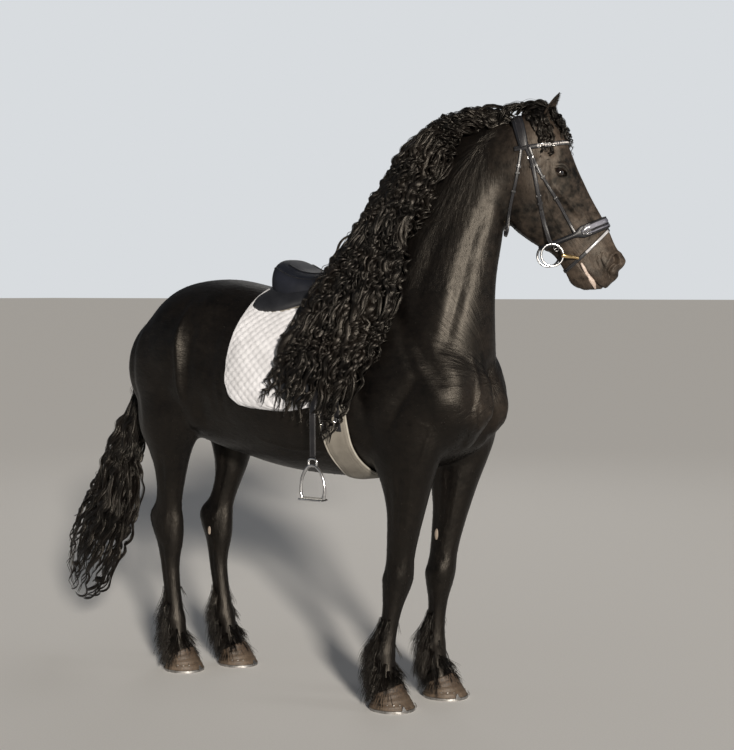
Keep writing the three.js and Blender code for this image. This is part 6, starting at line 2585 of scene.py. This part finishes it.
@dataclass
class Saddlery:
    """The saddle with its pad, girth and stirrups.

    Attributes:
        skin: The skin it lies on.
        seat_rows: Place along the back, top, bottom, half width and widest height of each section.
        pad_rows: Height of the pad's side, and where it begins and ends along the back.
        flap_rows: The same of a flap.
        quilt: Length of a quilted square's side in millimetres.
        leather: Width of the stirrup leathers and girth straps.
        seed: Seed of the pad's small creases.
    """

    skin: Skin
    seat_rows: Rows = (
        (-118, 1650, 1545, 78, 0.5), (-104, 1682, 1520, 118, 0.5), (-80, 1690, 1500, 140, 0.52),
        (-44, 1676, 1490, 154, 0.5), (12, 1650, 1485, 154, 0.5), (84, 1640, 1482, 136, 0.5),
        (156, 1654, 1484, 114, 0.5), (220, 1688, 1492, 98, 0.46), (262, 1720, 1505, 82, 0.42),
        (282, 1718, 1530, 60, 0.42),
    )
    pad_rows: Rows = (
        (1112, 236, 244), (1116, 60, 272), (1124, -120, 286), (1134, -146, 294), (1148, -170, 304),
        (1200, -198, 328), (1290, -203, 345), (1400, -192, 350), (1500, -165, 343), (1600, -152, 322),
        (1660, -150, 300),
    )
    flap_rows: Rows = (
        (1148, 114, 230), (1153, 98, 254), (1164, 88, 280), (1190, 80, 300), (1260, 76, 318), (1360, 74, 322),
        (1440, 72, 308), (1510, 66, 284),
    )
    quilt: float = 36.0
    leather: float = 25
    seed: int = 4

    def ring(self, x: float, angle: float, gap: float) -> Array:
        """Gives a point over the trunk's skin.

        Args:
            x: Place along the body.
            angle: Angle round it, 0 to the left, 90 up, -90 down.
            gap: Distance from the skin.

        Returns:
            The point in the horse's frame.
        """
        way = np.array([0.0, math.cos(math.radians(angle)), math.sin(math.radians(angle))])
        start = np.array([x, 0, TRUNK_AXIS])
        got = self.skin.hit(start, way)
        return start + way * 300 if got is None else got[0] + gap * way

    def build(self) -> None:
        """Makes and dresses every part."""
        self.numnah()
        self.seat()
        for name, side in SIDES.items():
            self.flaps(name, side)
            self.stirrup(name, side)
        self.girth()

    def numnah(self) -> None:
        """Makes the quilted pad, one sheet over the back, with bound edges."""
        rows, cols = 230, 92
        angles = np.linspace(180 + 26, -26, 700)
        probe = np.array([self.ring(70, a, 8) for a in angles])
        low = np.nonzero(probe[:, 2] > 1113)[0]
        arc = lengths(probe[low])
        pick = np.interp(np.linspace(0, arc[-1], rows), arc, angles[low])
        height = np.interp(np.linspace(0, arc[-1], rows), arc, probe[low, 2])
        ends = read_off(self.pad_rows, height)
        t = np.linspace(0, 1, cols)
        base = np.zeros((rows, cols, 3))
        for i, a in enumerate(pick):
            for j, x in enumerate(ends[i, 0] + (ends[i, 1] - ends[i, 0]) * t):
                base[i, j] = self.ring(x, a, 0)
        base = even_grid(base, 2, 2)
        n = grid_normals(base, base - (0, 0, TRUNK_AXIS))
        run = np.linspace(0, arc[-1], rows)[:, None] + 0 * t
        wide = base[..., 0]
        p, q = (run + wide) / self.quilt, (run - wide) / self.quilt
        seam = np.minimum(np.abs(p - np.round(p)), np.abs(q - np.round(q))) * self.quilt
        edge = np.minimum.reduce([run, arc[-1] - run, (wide - wide[:, :1]), (wide[:, -1:] - wide)])
        spine = np.abs(run - arc[-1] / 2)
        puff = 4.2 * (1 - np.exp(-((seam / 6.5) ** 2))) * step(9, 15, edge) * step(20, 34, spine)
        hem = (
            2.8 * np.exp(-(((edge - 4.5) / 5) ** 2)) - 1.6 * np.exp(-(((edge - 11.5) / 1.8) ** 2))
            - 1.3 * np.exp(-(((spine - 20) / 2.0) ** 2))
        )
        rng = np.random.default_rng(self.seed)
        sag = even_grid(rng.normal(0, 9, (rows, cols)), 14, 14)
        thick = 11.5 + puff + hem + sag * 0.5
        thick *= 0.35 + 0.65 * step(-1, 4.5, edge)
        inner = base + n * 5.2
        outer = base + n * (5.2 + thick)[..., None]
        obj = shell("quilted_pad", inner, outer, np.stack([wide, run], -1) / 1000)
        shown(obj, COTTON, "pad", "saddle_pad")

    def seat(self) -> None:
        """Makes the seat with its welts, the panels under it and the cantle's binding."""
        table = follow([(r[0], r[1], 0, *r[2:]) for r in self.seat_rows], 64)
        x, top, bottom, half, belt = table[:, 0], table[:, 1], table[:, 3], table[:, 4], table[:, 5]
        m = 56
        a = 2 * np.pi * np.arange(m) / m
        c, s = np.cos(a), np.sin(a)
        mid = bottom + (top - bottom) * belt
        width = np.sign(s) * np.abs(s) ** 0.8
        up = np.where(c > 0, np.abs(c) ** 0.85, -(np.abs(c) ** 0.7))
        z = mid[:, None] + np.where(c > 0, up * (top - mid)[:, None], up * (mid - bottom)[:, None])
        dish = np.exp(-((width[None] / 0.42) ** 2)) * (c > 0) * (
            5.5 * np.sin(np.pi * np.clip((x + 118) / 350, 0, 1))
        )[:, None]
        rings = np.stack([np.broadcast_to(x[:, None], z.shape), width[None] * half[:, None], z - dish], -1)
        seat = sweep("saddle_seat_leather", rings, False)
        shown(seat, SEAT_HIDE, "saddle", "saddle_seat")
        welts = []
        for frac in (0.30, 0.62):
            ang = math.pi / 2 * frac
            w, u = math.sin(ang) ** 0.8, math.cos(ang) ** 0.85
            for side in (-1, 1):
                line = np.stack([x, side * w * half, mid + u * (top - mid) + 0.6], 1)[5:-4]
                if frac < 0.5:
                    line = line[8:]
                welts.append(tube("welt", line, 2.3, 8))
        rim = np.stack([x[3] + 0 * a, width * half[3] * 1.01, z[3]], 1)[(c > -0.3)]
        order = np.argsort(np.arctan2(rim[:, 1], rim[:, 2] - mid[3]))
        welts.append(tube("cantle", rim[order], 4.2, 10))
        shown(join(welts, "saddle_welts"), WELT, "saddle", "saddle_seat")
        panels, trims = [], []
        for side in (-1, 1):
            rows = follow(
                [
                    (-128, side * 146, 1534, 36, 22), (-120, side * 150, 1530, 56, 27),
                    (-88, side * 153, 1526, 64, 30), (-20, side * 150, 1528, 62, 29),
                    (50, side * 134, 1540, 52, 27), (120, side * 112, 1552, 44, 27),
                    (200, side * 98, 1558, 40, 28), (252, side * 84, 1572, 30, 26),
                ],
                44,
            )
            normal = unit(np.broadcast_to(np.array([0, side * 0.66, 0.75]), (len(rows), 3)))
            tangent = unit(np.gradient(rows[:, :3], axis=0))
            across = unit(np.cross(tangent, normal))
            ring = (
                rows[:, None, :3] + np.cos(a)[None, :, None] * (rows[:, 3:4, None] * across[:, None])
                + (np.sign(s) * np.abs(s) ** 0.8)[None, :, None] * (
                    rows[:, 4:5, None] * 0.9 * normal[:, None]
                )
            )
            panels.append(sweep("panel", ring, False))
            down = across * np.sign(-across[:, 2:3])
            line = rows[:, :3] + down * rows[:, 3:4] * 0.96 - normal * 6
            trims.append(tube("trim", line[1:-2], 5.2, 8))
        shown(join(panels, "saddle_panels"), PANEL, "saddle", "saddle_seat")
        shown(join(trims, "saddle_panel_trim"), TRIM, "saddle", "saddle_seat")

    def side_point(self, x: float, z: float, side: int, gap: float) -> Array:
        """Gives a point beside the trunk, a gap away from the skin.

        Args:
            x: Place along the body.
            z: Height.
            side: -1 on the right, 1 on the left.
            gap: Distance from the skin.

        Returns:
            The point in the horse's frame.
        """
        got = self.skin.hit(np.array([x, side * 620.0, z]), np.array([0, -side, 0.0]))
        if got is None:
            return np.array([x, side * (300 + gap), z])
        return got[0] + gap * unit(got[1] * (0.4, 1, 1))

    def flaps(self, name: str, side: int) -> None:
        """Makes one flap with its knee block, its piping and the skirt above it.

        Args:
            name: Which side.
            side: -1 on the right, 1 on the left.
        """
        rows, cols = 74, 54
        z = np.linspace(1148, 1510, rows)
        ends = read_off(self.flap_rows, z)
        t = np.linspace(0, 1, cols)
        xs = ends[:, :1] + (ends[:, 1:] - ends[:, :1]) * t
        base = np.array([[self.side_point(x, zz, side, 0) for x in line] for line, zz in zip(xs, z)])
        base = even_grid(base, 6, 6, 4)
        n = grid_normals(base, (0, side, 0))
        edge = np.minimum.reduce(
            [np.broadcast_to((z - z[0])[:, None], xs.shape), xs - xs[:, :1], xs[:, -1:] - xs]
        )
        front = xs[:, -1:] - xs
        block = 21 * np.exp(-(((front - 30) / 17) ** 2)) * (
            step(1215, 1275, z) * step(1480, 1420, z)
        )[:, None]
        seam = -0.8 * np.exp(-(((edge - 9) / 1.2) ** 2))
        thick = 6.0 * (0.3 + 0.7 * step(-0.5, 3.5, edge)) + seam
        under = 20.5
        outer = base + n * (under + thick + block)[..., None]
        inner = base + n * (under + 0.3 * block)[..., None]
        uv = np.stack([xs, np.broadcast_to(z[:, None], xs.shape)], -1) / 1000
        shown(shell(f"saddle_flap_{name}_leather", inner, outer, uv), FLAP, "leather", "saddle_flap_" + name)
        # the piping along its free edge
        border = np.concatenate([outer[::-1, 0], outer[0], outer[:, -1]])
        shown(
            tube(f"saddle_flap_{name}_edge", follow(border[::3], 150), 2.2, 8), FLAP, "leather",
            "saddle_flap_" + name,
        )
        # the skirt over the stirrup bar
        sk_rows, sk_cols = 30, 30
        zz = np.linspace(1402, 1540, sk_rows)
        half = 74 * np.sqrt(np.clip(1 - ((1540 - zz) / 142) ** 2.4, 0.02, 1))
        xs = 196 + half[:, None] * np.linspace(-1, 1, sk_cols)
        base = np.array([[self.side_point(x, zv, side, 0) for x in line] for line, zv in zip(xs, zz)])
        base = even_grid(base, 6, 6, 4)
        n = grid_normals(base, (0, side, 0))
        uv = np.stack([xs, np.broadcast_to(zz[:, None], xs.shape)], -1) / 1000
        shown(
            shell(f"saddle_skirt_{name}", base + n * 27.5, base + n * 32.5, uv), FLAP, "leather",
            "saddle_flap_" + name,
        )

    def girth(self) -> None:
        """Makes the padded girth, broad under the breastbone, with its buckle ends."""
        rows, cols = 120, 22
        angles = np.linspace(180 + 24, 360 - 24, rows)
        probe = np.array([self.ring(GIRTH_AXIS[0], a, 0) for a in angles])
        z = probe[:, 2]
        heights = [850, 900, 1000, 1100, 1140]
        left = np.interp(z, heights, [244, 258, 246, 242, 240])
        right = np.interp(z, heights, [372, 360, 346, 342, 340])
        t = np.linspace(0, 1, cols)
        xs = left[:, None] + (right - left)[:, None] * t
        base = np.array([[self.ring(x, a, 0) for x in line] for line, a in zip(xs, angles)])
        base = even_grid(base, 4, 3, 3)
        n = grid_normals(base, base - GIRTH_AXIS)
        edge = np.minimum(xs - xs[:, :1], xs[:, -1:] - xs)
        run = lengths(base[:, cols // 2])
        tail = np.minimum(run, run[-1] - run)[:, None]
        edge = np.minimum(edge, tail)
        thick = (
            5.5 + 5.5 * step(0, 12, edge) - 1.8 * np.exp(-(((edge - 14) / 2.2) ** 2))
            + 1.2 * step(16, 30, edge)
        )
        thick *= 0.3 + 0.7 * step(-1, 4, edge)
        uv = np.stack([xs, np.broadcast_to(run[:, None], xs.shape)], -1) / 1000
        obj = shell("girth_padding", base + n * 5.2, base + n * (5.2 + thick)[..., None], uv)
        shown(obj, GIRTH_CLOTH, "girth", "girth")
        lip = base + n * 8.4
        rim = np.concatenate([lip[:, 0], lip[-1, 1:-1], lip[::-1, -1], lip[0, -2:0:-1]])
        shown(tube("girth_binding", even(rim, 2, True), 4.4, 8, closed=True), GIRTH_EDGE, "girth", "girth")
        straps, frames = [], []
        for end, way in ((0, 1), (-1, -1)):
            for shift in (-27, 27):
                turns = angles[end] + way * np.linspace(-7, 15, 26)
                line = np.array([self.ring((left[end] + right[end]) / 2 + shift, a, 19.5) for a in turns])
                out = unit((line - GIRTH_AXIS) * (0, 1, 1))
                straps.append(band("billet", line, out, self.leather, 3.2))
                along = unit(line[18] - line[16])
                frames.append(
                    placed(
                        buckle_frame(32, 22, 2.2), line[17] + out[17] * 4.4, np.cross(along, out[17]), along,
                        out[17],
                    )
                )
        shown(join(straps, "girth_billets"), strap_leather(self.leather, "girth_leather"), "girth", "girth")
        shown(join(frames, "girth_buckles"), STEEL, "steel", "girth")

    def stirrup(self, name: str, side: int) -> None:
        """Makes one stirrup leather and its iron.

        Args:
            name: Which side.
            side: -1 on the right, 1 on the left.
        """
        z = np.linspace(1450, 946, 60)
        x = np.interp(z, [942, 1110, 1300, 1480], [262, 260, 250, 244])
        pts = np.array([self.side_point(a, max(b, 1152), side, 31) for a, b in zip(x, z)])
        pts[:, 2], pts[:, 0] = z, x
        hang = step(1210, 1120, z)
        pts[:, 1] = pts[:, 1] * (1 - hang) + side * 350 * hang
        pts = even(pts, 8)
        t = unit(np.gradient(pts, axis=0))
        out = unit(np.cross(np.cross(t, np.array([0, side, 0.0])), t))
        layers = ((pts - out * 2.0, out), ((pts + out * 1.6)[4:], out[4:]))
        both = [band("leather", line, away, self.leather, 2.6) for line, away in layers]
        shown(
            join(both, f"stirrup_leather_{name}_straps"), strap_leather(self.leather), "leather",
            "stirrup_leather_" + name,
        )
        foot_at = np.array([262, side * 352.0, 782])
        arch = follow(
            [
                (-49, 0, 12), (-54, 0, 34), (-53, 0, 62), (-45, 0, 92), (-29, 0, 118), (-12, 0, 131),
                (0, 0, 133), (12, 0, 131), (29, 0, 118), (45, 0, 92), (53, 0, 62), (54, 0, 34), (49, 0, 12),
            ],
            70,
        )
        size = 5.2 + 1.6 * np.abs(np.linspace(-1, 1, 70)) ** 4
        bow = tube("bow", arch + foot_at, size, 12, flat=1.25)
        loop = follow(
            [
                (-17, 0, 134), (-18, 0, 150), (-10, 0, 157), (0, 0, 158), (10, 0, 157), (18, 0, 150),
                (17, 0, 134), (8, 0, 131), (-8, 0, 131),
            ],
            50,
        )
        eye = tube("eye", loop[:-1] + foot_at, 4.6, 10, closed=True)
        foot = rounded_box((108, 44, 8), 3.2)
        placed(foot, foot_at + (0, 0, 6.5), ALONG, LEFT, UP)
        iron = join([bow, eye, foot], f"stirrup_iron_{name}_steel")
        alone(iron)
        bpy.ops.object.shade_smooth_by_angle(angle=math.radians(40))
        shown(iron, STEEL, "steel", "stirrup_iron_" + name)
        treads = []
        for k in range(7):
            bar = rounded_box((11, 36, 4), 1.4)
            treads.append(placed(bar, foot_at + (14 * k - 42, 0, 11.5), ALONG, LEFT, UP))
        shown(join(treads, f"stirrup_tread_{name}"), TREAD, "steel", "stirrup_iron_" + name)


# Hooves

# Reach of a hoof's ground edge forward and backward, and half its width.
HOOF_SIZE = {"fore": (92, -86, 81), "hind": (88, -80, 77)}
# The same at its upper edge.
HOOF_TOP = (56, -54, 57)
# How the one passes into the other: under 1 it narrows soonest near the ground.
HOOF_BEND = (0.95, 0.8, 1.05)
# Height of a callus, and how far it sits inside the leg's line.
CALLUS_PLACE = {"fore": (628, 46), "hind": (560, 43)}
NAIL_ANGLES = (34, 52, 70, -34, -52, -70)


@dataclass(frozen=True)
class Hoof:
    """One hoof with its shoe.

    Attributes:
        leg: The leg's CAD node.
        front: Reach of the ground edge forward, in millimetres.
        back: Reach backward.
        wide: Half its width.
    """

    leg: str
    front: float
    back: float
    wide: float

    def outline(self, turn: Array, front: float, back: float, wide: float) -> Array:
        """Gives a hoof-shaped outline: round in front, flatter at the heels.

        Args:
            turn: Angles from the front.
            front: Reach forward.
            back: Reach backward.
            wide: Half its width.

        Returns:
            Pairs forward and sideways.
        """
        c, s = np.cos(turn), np.sin(turn)
        x = np.where(c > 0, c * front, -np.abs(c) ** 0.8 * abs(back))
        x = x + 0.16 * abs(back) * np.exp(-((s / 0.22) ** 2)) * (c < 0)
        y = np.sign(s) * np.abs(s) ** 0.92 * wide * (1 - 0.10 * (c < 0) * c**2)
        return np.stack([x, y], -1)

    def build(self) -> None:
        """Makes the horn and the shoe and dresses them."""
        end, side = self.leg.replace("leg", "").split("_")
        m, k = 64, 22
        turn = 2 * np.pi * np.arange(m) / m
        foot = leg_centre(self.leg, 0.0)
        rings = []
        for t in np.linspace(0, 1, k):
            sizes = zip((self.front, self.back, self.wide), HOOF_TOP, HOOF_BEND)
            out = self.outline(turn, *(low + (high - low) * t**bend for low, high, bend in sizes))
            out *= 1 + 0.03 * math.exp(-((t - 1) / 0.09) ** 2) - 0.012 * math.sin(t * 26) * (t < 0.9)
            height = 11 + t * (58 + 26 * np.cos(turn))
            c = leg_centre(self.leg, height)
            rings.append(np.stack([c[:, 0] + out[:, 0], c[:, 1] + out[:, 1], height], -1))
        inset = rings[0].copy()
        inset[:, :2] = foot[:2] + (rings[0][:, :2] - foot[:2]) * 0.82
        inset[:, 2] = 15
        shown(
            sweep(f"hoof_{end}_{side}_horn", np.stack([inset, *rings]), False), HORN, "hoof",
            f"hoof_{end}_{side}",
        )
        self.shoe(end, side, foot)

    def shoe(self, end: str, side: str, foot: Array) -> None:
        """Makes the shoe: a bar open at the heels, a toe clip and nail heads.

        Args:
            end: Fore or hind.
            side: Which side.
            foot: Middle of the hoof on the ground.
        """
        turn = np.linspace(-math.radians(152), math.radians(152), 72)
        rim = self.outline(turn, self.front - 1, self.back + 2, self.wide - 1)
        way = unit(np.gradient(rim, axis=0))
        inward = np.stack([-way[:, 1], way[:, 0]], 1)
        inward *= np.sign((inward * -rim).sum(1, keepdims=True))
        profile = np.array(
            [(0.6, 0), (22, 0), (22.6, 1), (22.6, 9.8), (22, 10.6), (1.6, 10.6), (0.2, 9.2), (0, 1)]
        )
        across = rim[:, None] + profile[:, :1] * inward[:, None]
        height = np.broadcast_to(profile[:, 1:], (len(rim), len(profile), 1))
        rings = foot + np.concatenate([across, height], -1)
        parts = [sweep("bar", rings, False, smooth=False)]
        for angle in (0.0,) if end == "hind" else (-0.5, 0.5):
            p = self.outline(np.array([angle]), self.front, self.back, self.wide)[0]
            o = unit(np.array([p[0], p[1], 0.0]))
            clip = rounded_box((2.8, 22, 20), 1.2)
            co = points_of(clip)
            co[:, 1] *= 1 - 0.75 * step(-6, 10, co[:, 2])
            put_points(clip, co)
            lean = unit(UP - o * 0.42)
            parts.append(
                placed(
                    clip, foot + (p[0], p[1], 17), unit(np.cross(np.cross(lean, o), lean)), np.cross(UP, o),
                    lean,
                )
            )
        for degrees in NAIL_ANGLES:
            angle = math.radians(degrees)
            p = self.outline(np.array([angle]), self.front - 10, self.back, self.wide - 9)[0]
            head = rounded_box((8, 5, 2.4), 0.6)
            parts.append(placed(head, foot + (p[0], p[1], 1.3), ALONG, LEFT, UP))
            q = self.outline(np.array([angle]), self.front - 9.0, self.back, self.wide - 7.2)[0]
            o = unit(np.array([q[0], q[1], 0.0]))
            clench = rounded_box((3.2, 5.5, 3), 0.8)
            parts.append(placed(clench, foot + (q[0] - 3.5, q[1], 30), o, np.cross(UP, o), UP))
        shown(join(parts, f"shoe_{end}_{side}_steel"), SHOE, "steel", f"shoe_{end}_{side}")


def callus(leg: str) -> None:
    """Sets the small horny plate on a leg's inner side."""
    end, name = leg.split("leg_")
    height, inset = CALLUS_PLACE[end]
    c = leg_centre(leg, height)
    obj = named(primitive("uv_sphere", segments=20, ring_count=12, radius=1), f"callus_{end}_{name}")
    put_points(obj, points_of(obj) * (11, 5, 24))
    placed(obj, c + (-14, -SIDES[name] * inset, 0), ALONG, LEFT, UP)
    bpy.ops.object.shade_smooth()
    shown(obj, CALLUS, "hoof", leg)


# The setting

# Name, kind, place, width in metres (angle for the sun), power and colour of each light.
LAMPS = (
    ("sun", "SUN", (5.2, -5.0, 2.9), 0.10, 5.2, (1.0, 0.93, 0.83)),
    ("fill", "AREA", (-5.8, -4.4, 3.4), 3.0, 9, (0.80, 0.90, 1.0)),
    ("rim", "AREA", (-3.2, 5.6, 5.2), 3.5, 32, (1.0, 0.98, 0.95)),
    ("strip", "AREA", (6.4, 2.2, 3.2), 2.4, 30, (1.0, 0.98, 0.95)),
)
LIT_PLACE = (0.1, 0, 1.2)
AMBIENT, AMBIENT_POWER = (0.84, 0.90, 1.0, 1), 0.085
BACKDROP, BACKDROP_POWER = (0.80, 0.83, 0.86, 1), 0.86


@dataclass(frozen=True)
class Studio:
    """Camera, lights and floor.

    Attributes:
        eye: The camera's place in the row frame.
        heading: The way it looks, level.
        lens: Focal length over a 36 mm sensor.
        rise: Vertical shift of the picture.
    """

    eye: tuple[float, float, float] = (3.8087, -5.1734, 1.56)
    heading: tuple[float, float, float] = (-0.5563, 0.831, 0.0)
    lens: float = 76.8
    rise: float = -0.1107

    def build(self) -> None:
        """Makes the camera, the floor, the backdrop and the lights."""
        data = bpy.data.cameras.new("camera")
        data.lens, data.sensor_width, data.shift_y = self.lens, 36, self.rise
        data.clip_start, data.clip_end = 0.1, 1000
        cam = bpy.data.objects.new("camera", data)
        bpy.context.scene.collection.objects.link(cam)
        cam.location = self.eye
        cam.rotation_mode = "QUATERNION"
        cam.rotation_quaternion = Vector(self.heading).to_track_quat("-Z", "Y")
        bpy.context.scene.camera = cam
        self.floor()
        self.lights()

    def floor(self) -> None:
        """Lays a plain pale floor."""
        obj = named(primitive("plane", size=600, location=(0, 0, 0)), "floor")
        obj.data.materials.append(FLOOR.material())

    def lights(self) -> None:
        """Hangs a soft sun, a fill, a rim light and a strip light under a pale sky."""
        for name, kind, place, size, power, colour in LAMPS:
            data = bpy.data.lights.new(name, kind)
            if kind == "SUN":
                data.angle = size
            else:
                data.shape, data.size = "DISK", size
            data.energy, data.color = power, colour
            lamp = bpy.data.objects.new(name, data)
            bpy.context.scene.collection.objects.link(lamp)
            lamp.location = place
            lamp.rotation_mode = "QUATERNION"
            lamp.rotation_quaternion = (Vector(LIT_PLACE) - Vector(place)).to_track_quat("-Z", "Y")
        world = bpy.data.worlds.new("studio")
        bpy.context.scene.world = world
        world.use_nodes = True
        tree = world.node_tree
        ambient = tree.nodes["Background"]
        ambient.inputs["Color"].default_value = AMBIENT
        ambient.inputs["Strength"].default_value = AMBIENT_POWER
        backdrop = tree.nodes.new("ShaderNodeBackground")
        backdrop.inputs["Color"].default_value = BACKDROP
        backdrop.inputs["Strength"].default_value = BACKDROP_POWER
        seen, blend = tree.nodes.new("ShaderNodeLightPath"), tree.nodes.new("ShaderNodeMixShader")
        tree.links.new(seen.outputs["Is Camera Ray"], blend.inputs[0])
        tree.links.new(ambient.outputs[0], blend.inputs[1])
        tree.links.new(backdrop.outputs[0], blend.inputs[2])
        tree.links.new(blend.outputs[0], tree.nodes["World Output"].inputs["Surface"])
        bpy.context.scene.view_settings.view_transform = "Standard"


def main() -> None:
    """Builds the horse, its tack and its setting."""
    logging.basicConfig(level=logging.INFO, format="%(message)s")
    Studio().build()
    skin = Skin()
    skin.build()
    for side, sign in SIDES.items():
        Eye(sign).build("eyeball_" + side, "eye_" + side)
        Ear(sign).build(side, skin)
    for fall in FALLS:
        fall.build(skin)
    for number, leg in enumerate(LEGS):
        Feathers(leg, seed=31 + number).build(skin)
    ShortCoat().build(skin)
    for leg in LEGS:
        Hoof(leg, *HOOF_SIZE[leg[:4]]).build()
    for leg in LEGS:
        callus(leg)
    Bridle(skin).build()
    Saddlery(skin).build()


if __name__ == "__main__":
    main()
